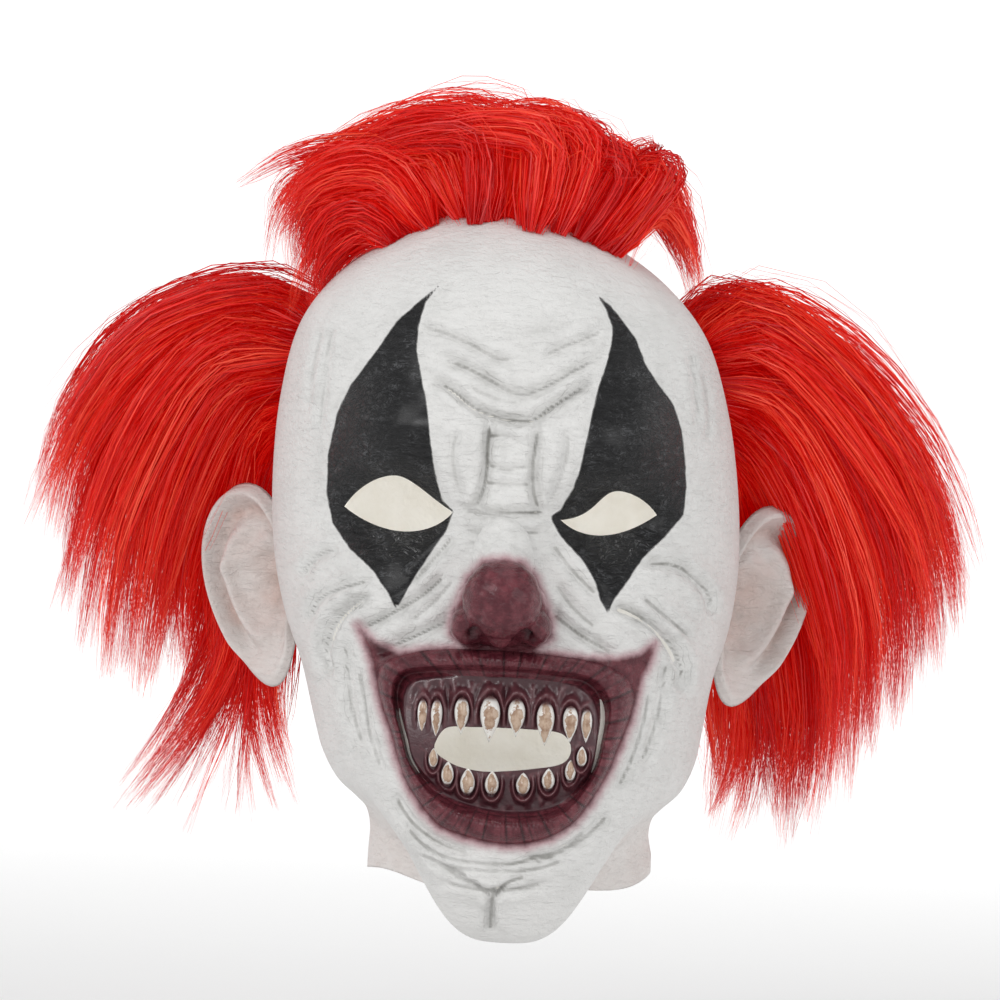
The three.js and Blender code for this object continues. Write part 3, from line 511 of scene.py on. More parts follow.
CREASES = (
    Crease(((-12, -49), (0, -51), (14, -49), (27, -45)), 0.35, 1.3, 0.2),
    Crease(((-38, -50), (-28, -52), (-17, -56), (-7, -61), (2, -62)), 0.8, 1.6, 0.4),
    Crease(((12, -60), (20, -56), (31, -51), (36, -49)), 0.7, 1.6, 0.35),
    Crease(((-34, -61), (-20, -65), (-9, -70), (0, -74.4), (7, -75), (16, -71), (27, -64), (40, -57)),
           1.1, 1.7, 0.5),
    Crease(((-36, -70), (-25, -74), (-15, -81), (-7, -84.4), (1, -86), (9, -85.7), (17, -80), (27, -73),
            (36, -67)), 1.5, 1.8, 0.65),
    Crease(((-17, -73), (-10, -76), (-4, -78), (5, -79)), 0.6, 1.3, 0.35),
    Crease(((-7.5, -85), (-8, -97), (-8, -107), (-9.3, -115), (-12.7, -123)), 1.3, 1.8, 0.6),
    Crease(((12, -87), (10.9, -97), (10.4, -105), (11.3, -115), (14, -122)), 1.2, 1.8, 0.55),
    Crease(((-8, -93), (-2, -92), (4, -94)), 0.5, 1.1, 0.3),
    Crease(((-8, -104), (0, -105.5), (9, -104)), 0.7, 1.2, 0.4),
    Crease(((-9, -111), (1, -112), (10, -111)), 0.5, 1.1, 0.3),
    Crease(((-20, -122), (-8, -123.5), (4, -123), (18, -122)), 1.3, 1.7, 0.6),
    Crease(((-17, -130), (-6, -132), (6, -131), (16, -130)), 0.6, 1.3, 0.35),
    Crease(((-13, -137), (0, -139), (13, -137)), 0.5, 1.2, 0.35),
    Crease(((-20, -90), (-22, -100), (-20, -111), (-16, -119)), 0.7, 2.0, 0.3),
    Crease(((23, -88), (24, -98), (21, -110), (17, -119)), 0.7, 2.0, 0.3),
    Crease(((-20, -133), (-28, -143), (-36, -153)), 0.7, 1.6, 0.5),
    Crease(((-22, -148), (-31, -157), (-43, -165), (-57, -173)), 1.2, 1.8, 0.65),
    Crease(((-51, -156), (-61, -164), (-67, -172), (-69, -182), (-66, -192)), 1.7, 2.1, 0.75),
    Crease(((-51, -152), (-64, -156), (-73, -161), (-76, -170)), 1.0, 1.7, 0.55),
    Crease(((-66, -140), (-75, -144), (-80, -152)), 0.9, 1.7, 0.5),
    Crease(((19, -134), (28, -145), (39, -155)), 0.7, 1.6, 0.5),
    Crease(((43, -158), (57, -163), (67, -171), (73, -182), (72, -192)), 1.8, 2.1, 0.75),
    Crease(((56, -154), (65, -161), (77, -170)), 1.0, 1.7, 0.55),
    Crease(((54, -141), (68, -141), (77, -146), (83, -153), (84, -161)), 1.2, 1.9, 0.6),
    Crease(((-19, -166), (-30, -172), (-40, -177), (-50, -182)), 1.3, 2.0, 0.7),
    Crease(((20, -162), (33, -171), (47, -178)), 1.3, 2.0, 0.7),
    Crease(((-19, -150), (-27, -160), (-36, -168)), 0.7, 1.7, 0.4),
    Crease(((21, -150), (29, -160), (39, -168)), 0.7, 1.7, 0.4),
    Crease(((-62, -176), (-60, -190), (-57, -206), (-52, -220)), 1.0, 2.2, 0.5),
    Crease(((67, -178), (66, -192), (63, -208), (58, -222)), 1.0, 2.2, 0.5),
    Crease(((-56, -186), (-53, -200), (-50, -214), (-44, -230)), 0.8, 1.8, 0.5),
    Crease(((61, -190), (59, -204), (55, -219), (49, -233)), 0.8, 1.8, 0.5),
    Crease(((-40, -236), (-32, -248), (-20, -256), (-6, -260)), 1.0, 2.0, 0.55),
    Crease(((48, -240), (38, -251), (26, -258), (12, -261)), 1.0, 2.0, 0.55),
    Crease(((-24, -262), (-14, -268), (-6, -272)), 0.7, 1.6, 0.45),
    Crease(((-19, -265), (0, -266.5), (18, -265), (31, -260)), 0.7, 1.5, 0.4),
    Crease(((-20, -271), (-8, -273.5), (2, -274), (12, -273), (26, -269)), 0.8, 1.5, 0.45),
    Crease(((2.5, -272), (1.5, -280), (1.5, -291)), 1.0, 1.6, 0.5),
    Crease(((-30, -256), (-18, -261.5), (-4, -263.5), (10, -263), (24, -258)), 0.5, 1.1, 0.5),
    Crease(((-29, -260), (-16, -266), (-8, -269)), 0.5, 1.1, 0.45),
    Crease(((-34, -250), (-27, -257), (-17, -262.5)), 0.5, 1.1, 0.45),
    Crease(((38, -248), (29, -257), (17, -262.5)), 0.5, 1.1, 0.45),
    Crease(((-15, -269), (-6, -271.5), (1.5, -277)), 0.7, 1.2, 0.5),
    Crease(((15, -268), (7, -271), (2.5, -277)), 0.7, 1.2, 0.5),
    Crease(((-76, -52), (-79, -68), (-80, -84)), 0.5, 1.3, 0.3),
    Crease(((-72, -50), (-74, -64), (-75, -80), (-76, -95)), 0.5, 1.3, 0.3),
    Crease(((71, -55), (74, -70), (76, -86)), 0.5, 1.3, 0.3),
    Crease(((76, -62), (79, -76), (80, -92)), 0.4, 1.3, 0.25),
)

LEFT_DIAMOND: Outline = (
    (-30.7, -33.7), (-40, -42), (-46.7, -48.7), (-53.3, -59.3), (-64, -75), (-68.7, -86), (-71.7, -103),
    (-71.5, -118), (-68.7, -130), (-61.3, -140), (-52, -148), (-45.3, -157), (-41.7, -163.3), (-40, -160),
    (-36, -152), (-29.3, -140.7), (-23.3, -131.3), (-20.7, -123.3), (-25.3, -119.3), (-28.7, -108.7),
    (-31.3, -95.3), (-33.3, -80.7), (-36, -70), (-38.2, -60), (-38, -50), (-35.5, -40),
)
RIGHT_DIAMOND: Outline = (
    (33.7, -34.9), (37.3, -40.7), (40, -47.3), (39.7, -54), (38, -62), (35.3, -71.3), (33.3, -82),
    (31.3, -94), (29.3, -104.7), (26.7, -112.7), (22, -121), (18.3, -124), (22.7, -131.3), (32, -140.7),
    (37.3, -148.7), (40, -156.7), (42.9, -161.3), (45.3, -155.3), (50.7, -147.3), (55.3, -139.3),
    (64, -130), (71.3, -120.7), (72, -110), (71, -99), (69.3, -87.3), (65.3, -76.7), (58.7, -68.7),
    (53.3, -60.7), (49.3, -51.3), (44, -44.7), (38.7, -38.7),
)
LIP_OUTER: Outline = (
    (-40, -181.5), (-30, -179), (-19, -178), (-5, -177.7), (9, -178), (23, -179), (34.5, -180), (44, -182),
    (52, -186.5), (55.8, -194), (54, -203), (49.5, -216), (45, -227), (39, -237.5), (33, -246), (24, -252),
    (14, -255), (3, -255.5), (-10, -253.5), (-20.5, -250), (-28, -242.5), (-34, -234), (-38.5, -223.5),
    (-42, -212), (-46, -202), (-48.7, -192), (-46.5, -184.5),
)
LIP_INNER: Outline = (
    (-37, -190), (-30, -188), (-19, -187), (-5, -186.6), (9, -186.6), (23, -187.5), (34.5, -189),
    (41, -194.5), (43, -202), (42, -212), (40, -223.5), (35.5, -232), (28, -240), (19, -243.5), (9, -244.5),
    (-1, -244), (-10, -242), (-18, -239), (-26, -233), (-33, -224), (-36, -215), (-39, -205), (-40, -196),
)
LIP_PAINT: Outline = (
    (-57, -170.5), (-50, -177), (-40, -181), (-30, -179), (-19, -178), (-5, -177), (9, -177), (23, -178.5),
    (36, -180), (48, -179.5), (56, -177.5), (62.3, -172.5), (61, -180), (57.5, -187), (56.3, -194),
    (54.5, -203), (50, -216), (45.5, -227), (39.5, -238), (33, -246.5), (24, -252.7), (14, -256),
    (3, -256.2), (-10, -254.2), (-21, -250.5), (-28.5, -243), (-34.5, -234), (-39, -223.5), (-42.7, -212),
    (-46.7, -202), (-49.5, -191), (-52, -182),
)
NOSE_PAINT: Outline = (
    (0, -141.5), (-8, -143), (-13.5, -149), (-16.5, -158), (-19.5, -165), (-20, -172), (-14.5, -177.5),
    (-6, -179.5), (6, -179.5), (14.5, -177.5), (21, -172), (20.5, -165), (17, -157), (14, -149),
    (8.5, -143),
)
GAPE: Outline = (
    (-23.8, -216), (-19.6, -209.8), (-10, -209), (3, -208.8), (16, -209), (26, -210), (30, -214),
    (30, -219), (26, -222.6), (16, -224.6), (5, -226), (-5, -226.5), (-14, -225), (-19.6, -222.5),
    (-23.3, -219.7),
)


@dataclass(frozen=True)
class EyeHole:
    """The hole of an eye: curves from the outer corner round, as shares of its size, x counted outwards.

    Each lid is the two handles of its curve and then its end.
    """

    side: int
    lids: tuple[tuple[float, float, float, float, float, float], ...]
    x: float = 42.0
    z: float = -121.0
    wide: float = 41.0
    high: float = 20.5

    def outline(self, steps: int = 24) -> Array:
        """Return the outline as flat places, so many on each lid."""
        rows = []
        start = np.array(self.lids[-1][4:])
        share = np.linspace(0.0, 1.0, steps, endpoint=False)[:, None]
        for lid in self.lids:
            a, b, end = (np.array(lid[k:k + 2]) for k in (0, 2, 4))
            rest = 1.0 - share
            handles = 3 * rest**2 * share * a + 3 * rest * share**2 * b
            rows.append(rest**3 * start + handles + share**3 * end)
            start = end
        flat = np.vstack(rows)
        across = self.side * (self.x + flat[:, 0] * self.wide)
        return np.stack([across, self.z + flat[:, 1] * self.high], axis=1)


LEFT_EYE = EyeHole(-1, (
    (0.42, 0.3, 0.22, 0.535, 0.06, 0.535),
    (-0.1, 0.535, -0.3, 0.1, -0.52, -0.127),
    (-0.3, -0.68, 0.15, -0.7, 0.544, -0.112),
))
RIGHT_EYE = EyeHole(1, (
    (0.38, 0.22, 0.22, 0.41, 0.08, 0.42),
    (-0.12, 0.42, -0.12, -0.12, -0.48, -0.19),
    (-0.25, -0.6, 0.1, -0.55, 0.456, -0.015),
))


class Desk:
    """Short calls that lay out one material's nodes."""

    def __init__(self, name: str) -> None:
        """Start a material of this name with a bare Principled shader."""
        self.material = bpy.data.materials.new(name)
        self.material.use_nodes = True
        self.tree = self.material.node_tree
        self.tree.nodes.clear()
        self.shader = self.tree.nodes.new("ShaderNodeBsdfPrincipled")
        output = self.tree.nodes.new("ShaderNodeOutputMaterial")
        self.tree.links.new(self.shader.outputs["BSDF"], output.inputs["Surface"])

    def set(self, **values: object) -> None:
        """Set the shader's own sockets, given with _ for each space."""
        for key, value in values.items():
            socket = self.shader.inputs[key.replace("_", " ")]
            if isinstance(value, bpy.types.NodeSocket):
                self.tree.links.new(value, socket)
            else:
                socket.default_value = value

    def put(self, socket: bpy.types.NodeSocket, value: object) -> None:
        """Link a socket to this one, or set it to a number."""
        if isinstance(value, bpy.types.NodeSocket):
            self.tree.links.new(value, socket)
        elif value is not None:
            socket.default_value = value

    def sum(self, operation: str, a: object, b: object = None, c: object = None) -> bpy.types.NodeSocket:
        """Return the outcome of a Math node on up to three values."""
        node = self.tree.nodes.new("ShaderNodeMath")
        node.operation = operation
        for socket, value in zip(node.inputs, (a, b, c)):
            self.put(socket, value)
        return node.outputs[0]

    def span(self, value: object, low: float, high: float, to_low: float = 0.0,
             to_high: float = 1.0) -> bpy.types.NodeSocket:
        """Return a value eased from one range to another and kept inside it."""
        node = self.tree.nodes.new("ShaderNodeMapRange")
        node.interpolation_type = "SMOOTHSTEP"
        for key, number in (("Value", value), ("From Min", low), ("From Max", high),
                            ("To Min", to_low), ("To Max", to_high)):
            self.put(node.inputs[key], number)
        return node.outputs["Result"]

    def read(self, name: str) -> bpy.types.NodeSocket:
        """Return a number kept on the mesh."""
        node = self.tree.nodes.new("ShaderNodeAttribute")
        node.attribute_name = name
        return node.outputs["Fac"]

    def place(self, scale: tuple[float, float, float] = (1.0, 1.0, 1.0)) -> bpy.types.NodeSocket:
        """Return the object's own coordinates, stretched by scale."""
        source = self.tree.nodes.new("ShaderNodeTexCoord")
        mapping = self.tree.nodes.new("ShaderNodeMapping")
        mapping.inputs["Scale"].default_value = scale
        self.tree.links.new(source.outputs["Object"], mapping.inputs["Vector"])
        return mapping.outputs["Vector"]

    def noise(self, size: float, detail: float = 4.0, rough: float = 0.55, twist: float = 0.0,
              place: bpy.types.NodeSocket | None = None) -> bpy.types.NodeSocket:
        """Return noise whose marks are about size metres across."""
        node = self.tree.nodes.new("ShaderNodeTexNoise")
        node.inputs["Scale"].default_value = 1.0 / size
        node.inputs["Detail"].default_value = detail
        node.inputs["Roughness"].default_value = rough
        node.inputs["Distortion"].default_value = twist
        self.tree.links.new(place or self.place(), node.inputs["Vector"])
        return node.outputs["Fac"]

    def blend(self, share: object, a: object, b: object) -> bpy.types.NodeSocket:
        """Return colour b laid over colour a by a share."""
        node = self.tree.nodes.new("ShaderNodeMix")
        node.data_type = "RGBA"
        node.clamp_factor = True
        self.put(node.inputs[0], share)
        self.put(node.inputs[6], a)
        self.put(node.inputs[7], b)
        return node.outputs[2]

    def bump(self, height: object, distance: float, strength: float = 1.0,
             over: bpy.types.NodeSocket | None = None) -> bpy.types.NodeSocket:
        """Return a normal raised by height, distance metres at most."""
        node = self.tree.nodes.new("ShaderNodeBump")
        node.inputs["Strength"].default_value = strength
        node.inputs["Distance"].default_value = distance
        self.put(node.inputs["Height"], height)
        self.put(node.inputs["Normal"], over)
        return node.outputs["Normal"]


Colour = tuple[float, float, float, float]


@dataclass(frozen=True)
class PaintedLatex:
    """Off-white latex with black, maroon and grey wash paint, with painted shade in creases, folds and
    nostrils and painted glints on the black.
    """

    white: Colour = (0.79, 0.785, 0.77, 1.0)
    cool: Colour = (0.70, 0.695, 0.68, 1.0)
    # Dark grey-olive for the wash paint and for painted shade in creases and round the black.
    wash_and_shade: Colour = (0.13, 0.125, 0.105, 1.0)
    black: Colour = (0.008, 0.008, 0.009, 1.0)
    # Lighter black for painted glints along the fine wrinkles of the black paint.
    wrinkle_glint_black: Colour = (0.085, 0.087, 0.092, 1.0)
    maroon: Colour = (0.085, 0.012, 0.02, 1.0)
    bright_maroon: Colour = (0.17, 0.038, 0.05, 1.0)
    # Deeper maroon for painted shade in the folds of the lips and in the nostrils.
    deep_maroon: Colour = (0.03, 0.008, 0.011, 1.0)
    pink: Colour = (0.42, 0.17, 0.21, 1.0)
    flesh: Colour = (0.66, 0.45, 0.39, 1.0)

    def build(self) -> bpy.types.Material:
        """Return the material, which reads the paint's numbers from the mesh."""
        desk = Desk("painted_latex")
        ragged = desk.sum("MULTIPLY_ADD", desk.noise(0.004, 3.0, 0.6), 2.4, -1.2)
        mottle = desk.noise(0.018, 3.0, 0.6)
        colour = desk.blend(desk.span(mottle, 0.35, 0.75, 0.0, 0.55), self.white, self.cool)
        warm = desk.sum("MULTIPLY", desk.read("warm"), desk.span(mottle, 0.2, 0.8, 0.5, 1.0))
        colour = desk.blend(warm, colour, self.flesh)
        # Grey wash paint and painted shade: patchy darkening around the creases and round the black diamonds.
        wash_and_shade_patches = desk.span(desk.noise(0.007, 3.0, 0.65), 0.35, 0.75)
        soft = desk.sum("MULTIPLY", desk.read("wash_and_shade"), wash_and_shade_patches)
        colour = desk.blend(desk.sum("MULTIPLY", soft, 0.34), colour, self.wash_and_shade)
        # Grey wash paint and painted shade: a thin dark line along each crease and faint parallel lines
        # beside it where fine wrinkles would shade.
        wobble = desk.sum("MULTIPLY_ADD", desk.noise(0.0015, 2.0, 0.6), 0.5, desk.read("furrow"))
        strength = desk.span(desk.read("crease"), 0.05, 0.65)
        main = desk.sum("MULTIPLY", desk.span(wobble, 0.45, 1.35, 1.0, 0.0), strength)
        drift = desk.sum("MULTIPLY_ADD", desk.noise(0.012, 2.0), 7.0, desk.read("furrow"))
        wave = desk.sum("SINE", desk.sum("MULTIPLY", drift, 2.3))
        patchy = desk.span(desk.noise(0.009, 3.0, 0.6), 0.4, 0.7)
        patched = desk.sum("MULTIPLY", strength, patchy)
        side_lines = desk.sum("MULTIPLY", desk.span(wave, 0.82, 1.0), patched)
        main = desk.sum("MULTIPLY", main, desk.span(mottle, 0.3, 0.7, 0.3, 0.7))
        line = desk.sum("MAXIMUM", main, desk.sum("MULTIPLY", side_lines, 0.4))
        colour = desk.blend(line, colour, self.wash_and_shade)
        rouge = desk.read("rouge")
        halo = desk.span(desk.sum("ADD", rouge, ragged), -5.5, 0.0)
        halo = desk.sum("MULTIPLY", desk.sum("POWER", halo, 2.0), 0.7)
        colour = desk.blend(halo, colour, self.pink)
        streaks = desk.span(desk.noise(0.005, 3.0, 0.6), 0.35, 0.7)
        lip = desk.blend(streaks, self.maroon, self.bright_maroon)
        # Painted shade: the lips and the nose turn deeper maroon in their folds and nostrils.
        lip = desk.blend(desk.sum("MULTIPLY", desk.read("crease"), 0.85), lip, self.deep_maroon)
        lipped = desk.span(desk.sum("MULTIPLY_ADD", ragged, 0.8, rouge), -1.2, 1.4)
        colour = desk.blend(lipped, colour, lip)
        stretched = desk.noise(0.006, 3.0, 0.6, 1.2, desk.place((1.0, 1.0, 2.6)))
        ridge = desk.sum("ABSOLUTE", desk.sum("MULTIPLY_ADD", stretched, 2.0, -1.0))
        # Painted highlight: light streaks along the black paint's fine wrinkles, where they would catch the
        # light.
        worn = desk.sum("MULTIPLY", desk.span(ridge, 0.0, 0.09, 1.0, 0.0), patchy)
        dark = desk.blend(worn, self.black, self.wrinkle_glint_black)
        blacked = desk.span(desk.sum("MULTIPLY_ADD", ragged, 0.35, desk.read("diamond")), -0.35, 0.35)
        colour = desk.blend(blacked, colour, dark)
        gloss = desk.sum("MAXIMUM", blacked, lipped)
        rough = desk.sum("MULTIPLY_ADD", gloss, -0.25, 0.56)
        rough = desk.sum("MULTIPLY_ADD", desk.noise(0.006, 2.0), 0.1, rough)
        strokes = desk.bump(desk.noise(0.0022, 2.0, 0.65, 0.6), 0.0004)
        tall = desk.sum("MULTIPLY", stretched, desk.sum("MULTIPLY_ADD", blacked, 0.75, 0.25))
        folds = desk.bump(tall, 0.0045, 0.9, strokes)
        desk.set(Base_Color=colour, Roughness=rough, Normal=folds, Specular_IOR_Level=0.25)
        desk.set(Coat_Weight=desk.sum("MULTIPLY", gloss, 0.3), Coat_Roughness=0.22)
        return desk.material


@dataclass(frozen=True)
class BareLatex:
    """The unpainted inside of the mask and its cut edges."""

    colour: Colour = (0.86, 0.84, 0.79, 1.0)
    deep: Colour = (0.78, 0.75, 0.68, 1.0)

    def build(self) -> bpy.types.Material:
        """Return the material."""
        desk = Desk("bare_latex")
        patch = desk.span(desk.noise(0.02, 4.0), 0.35, 0.7)
        bumps = desk.bump(desk.noise(0.003, 4.0), 0.0004)
        desk.set(Base_Color=desk.blend(patch, self.colour, self.deep), Roughness=0.6, Normal=bumps)
        return desk.material


@dataclass(frozen=True)
class GumPaint:
    """Dark maroon gum with a wet gloss and painted highlights on its ridges."""

    colour: Colour = (0.055, 0.012, 0.018, 1.0)
    # Paler maroon for patches and for painted highlights on the gum's ridges.
    pale: Colour = (0.18, 0.06, 0.07, 1.0)

    def build(self) -> bpy.types.Material:
        """Return the material."""
        desk = Desk("gum_paint")
        patch = desk.span(desk.noise(0.0035, 5.0, 0.6), 0.45, 0.8)
        colour = desk.blend(desk.sum("MULTIPLY", patch, 0.7), self.colour, self.pale)
        # Painted highlight: the gum's ridges and collars are paler.
        colour = desk.blend(desk.sum("MULTIPLY", desk.read("ridge"), 0.6), colour, self.pale)
        bumps = desk.bump(desk.noise(0.0016, 4.0), 0.0003)
        desk.set(Base_Color=colour, Roughness=0.35, Normal=bumps, Coat_Weight=0.35, Coat_Roughness=0.12)
        return desk.material


@dataclass(frozen=True)
class ToothPaint:
    """Glossy tooth: tan in the middle with a white edge."""

    middle: Colour = (0.30, 0.17, 0.10, 1.0)
    light: Colour = (0.56, 0.41, 0.30, 1.0)
    edge: Colour = (0.86, 0.84, 0.80, 1.0)
    root: Colour = (0.10, 0.03, 0.03, 1.0)

    def build(self) -> bpy.types.Material:
        """Return the material, which reads how near the middle of the tooth a point is."""
        desk = Desk("tooth_paint")
        patch = desk.noise(0.0035, 4.0, 0.6)
        middle = desk.blend(desk.span(patch, 0.35, 0.65), self.middle, self.light)
        core = desk.sum("MULTIPLY_ADD", desk.sum("SUBTRACT", patch, 0.5), 1.9, desk.read("core"))
        colour = desk.blend(desk.span(core, 0.42, 0.6), self.edge, middle)
        colour = desk.blend(desk.read("root_end"), colour, self.root)
        bumps = desk.bump(desk.noise(0.0012, 3.0), 0.0002)
        desk.set(Base_Color=colour, Roughness=0.2, Normal=bumps, Coat_Weight=0.6, Coat_Roughness=0.08)
        return desk.material


@dataclass(frozen=True)
class RedFibre:
    """Shiny synthetic hair, each strand in its own red, with a faint painted red glow for light scattered
    through it.
    """

    deep: Colour = (0.42, 0.0, 0.002, 1.0)
    red: Colour = (0.80, 0.012, 0.006, 1.0)
    bright: Colour = (0.95, 0.10, 0.045, 1.0)
    # Red of a painted glow that stands in for light scattered through the hair.
    glow: Colour = (0.6, 0.0, 0.0, 1.0)

    def build(self) -> bpy.types.Material:
        """Return the material."""
        desk = Desk("red_fibre")
        streak = desk.tree.nodes.new("ShaderNodeTexNoise")
        streak.noise_dimensions = "1D"
        streak.inputs["Scale"].default_value = 2.6
        desk.put(streak.inputs["W"], desk.read("across"))
        tone = desk.sum("MULTIPLY_ADD", streak.outputs["Fac"], 0.7, desk.sum("ADD", desk.read("tone"), -0.35))
        # Painted shade: the strands are darker near their roots, deep in the tuft.
        root = desk.span(desk.read("along"), 0.0, 0.14, 0.3, 0.0)
        tone = desk.sum("SUBTRACT", tone, root)
        colour = desk.blend(desk.span(tone, 0.0, 0.5), self.deep, self.red)
        colour = desk.blend(desk.span(tone, 0.58, 0.95), colour, self.bright)
        desk.set(Base_Color=colour, Roughness=0.38, Specular_IOR_Level=0.4)
        # Painted light: a faint red glow in place of light scattered through the hair.
        desk.set(Emission_Color=self.glow, Emission_Strength=0.17)
        return desk.material


@dataclass(frozen=True)
class PaleStage:
    """The plain pale floor."""

    colour: Colour = (0.4, 0.4, 0.4, 1.0)
    worn: Colour = (0.38, 0.38, 0.38, 1.0)
    light: Colour = (1.0, 1.0, 1.0, 1.0)
    front_glow: float = 0.42
    back_glow: float = 0.84

    def build(self) -> bpy.types.Material:
        """Return the material, which glows softly behind the mask."""
        desk = Desk("pale_stage")
        parts = desk.tree.nodes.new("ShaderNodeSeparateXYZ")
        desk.put(parts.inputs[0], desk.place())
        glow = desk.span(parts.outputs["Y"], -0.5, 2.5, self.front_glow, self.back_glow)
        grain = desk.blend(desk.noise(0.6, 0.0), self.colour, self.worn)
        desk.set(Base_Color=grain, Roughness=0.9, Emission_Color=self.light, Emission_Strength=glow)
        return desk.material


@dataclass
class Finishes:
    """Every material of the mask, made once."""

    painted: bpy.types.Material = field(default_factory=lambda: PaintedLatex().build())
    bare: bpy.types.Material = field(default_factory=lambda: BareLatex().build())
    gum: bpy.types.Material = field(default_factory=lambda: GumPaint().build())
    tooth: bpy.types.Material = field(default_factory=lambda: ToothPaint().build())
    fibre: bpy.types.Material = field(default_factory=lambda: RedFibre().build())


@dataclass
class Paint:
    """Where the paint lies on the face."""

    head: HeadForm
    outlines: dict[str, Array] = field(init=False)
    creases: list[tuple[Crease, Array]] = field(init=False)
    reach: float = 14.0

    def __post_init__(self) -> None:
        """Keep the outlines and draw the creases' paths finely."""
        shapes = {"left": LEFT_DIAMOND, "right": RIGHT_DIAMOND, "lip": LIP_PAINT, "nose": NOSE_PAINT}
        self.outlines = {name: np.asarray(points, float) for name, points in shapes.items()}
        self.creases = [(crease, curve_through(crease.path, 4 * len(crease.path), False))
                        for crease in CREASES]

    def furrows(self, places: Array) -> tuple[Array, Array, Array]:
        """Work out the furrows at places seen from the front.

        Args:
            places: Flat places on the plane of the face.

        Returns:
            How deep the skin is pressed in, how dark the wash paint and painted shade are and how far the
            nearest furrow is.
        """
        deep = np.zeros(len(places))
        dark = np.zeros(len(places))
        gap = np.full(len(places), self.reach)
        for crease, path in self.creases:
            low, high = path.min(axis=0) - self.reach, path.max(axis=0) + self.reach
            near = np.all((places > low) & (places < high), axis=1)
            far, share = path_distance(places[near], path)
            ends = ease(share, 0.0, 0.13) * ease(1.0 - share, 0.0, 0.13)
            shoulder = 0.5 * bell((far - 2.4 * crease.wide) / (1.5 * crease.wide))
            deep[near] += 2.1 * crease.deep * ends * (bell(far / crease.wide) - shoulder)
            dark[near] = np.maximum(dark[near], crease.dark * ends * bell(far / 5.5))
            gap[near] = np.minimum(gap[near], far + 3.0 * (1.0 - ends))
        return deep, dark, gap

    def dress(self, piece: bpy.types.Object, warm: float = 0.0) -> None:
        """Keep the paint's numbers on a piece.

        Args:
            piece: Piece whose mesh is painted.
            warm: Share of flesh colour over the whole piece.
        """
        mesh = piece.data
        points = points_of(mesh)
        places = self.head.view.seen(points)
        front = ease(30.0 - points[:, 1], 0.0, 25.0)
        depths = {name: depth_inside(places, outline) for name, outline in self.outlines.items()}
        diamond = np.maximum(depths["left"], depths["right"])
        rouge = np.maximum(depths["lip"], depths["nose"])
        _, dark, gap = self.furrows(places)
        # Grey wash paint and painted shade in a soft band round the black diamonds.
        round_eyes = bell((diamond + 1.5) / 4.0) * 0.35
        low = ease(-points[:, 2], 232.0, 262.0) * ease(points[:, 1], -75.0, -45.0)
        store(mesh, "diamond", np.where(front > 0.2, diamond, -PAINT_REACH))
        store(mesh, "rouge", np.where(front > 0.2, rouge, -PAINT_REACH))
        # How strong the painted shade and wash lines of the furrows are, and how far the nearest furrow is.
        store(mesh, "crease", dark * front)
        store(mesh, "furrow", gap)
        # Broad grey wash paint and painted shade around the creases and round the black.
        store(mesh, "wash_and_shade", np.maximum(dark, round_eyes) * front)
        store(mesh, "warm", np.clip(warm + 0.25 * low, 0.0, 1.0))


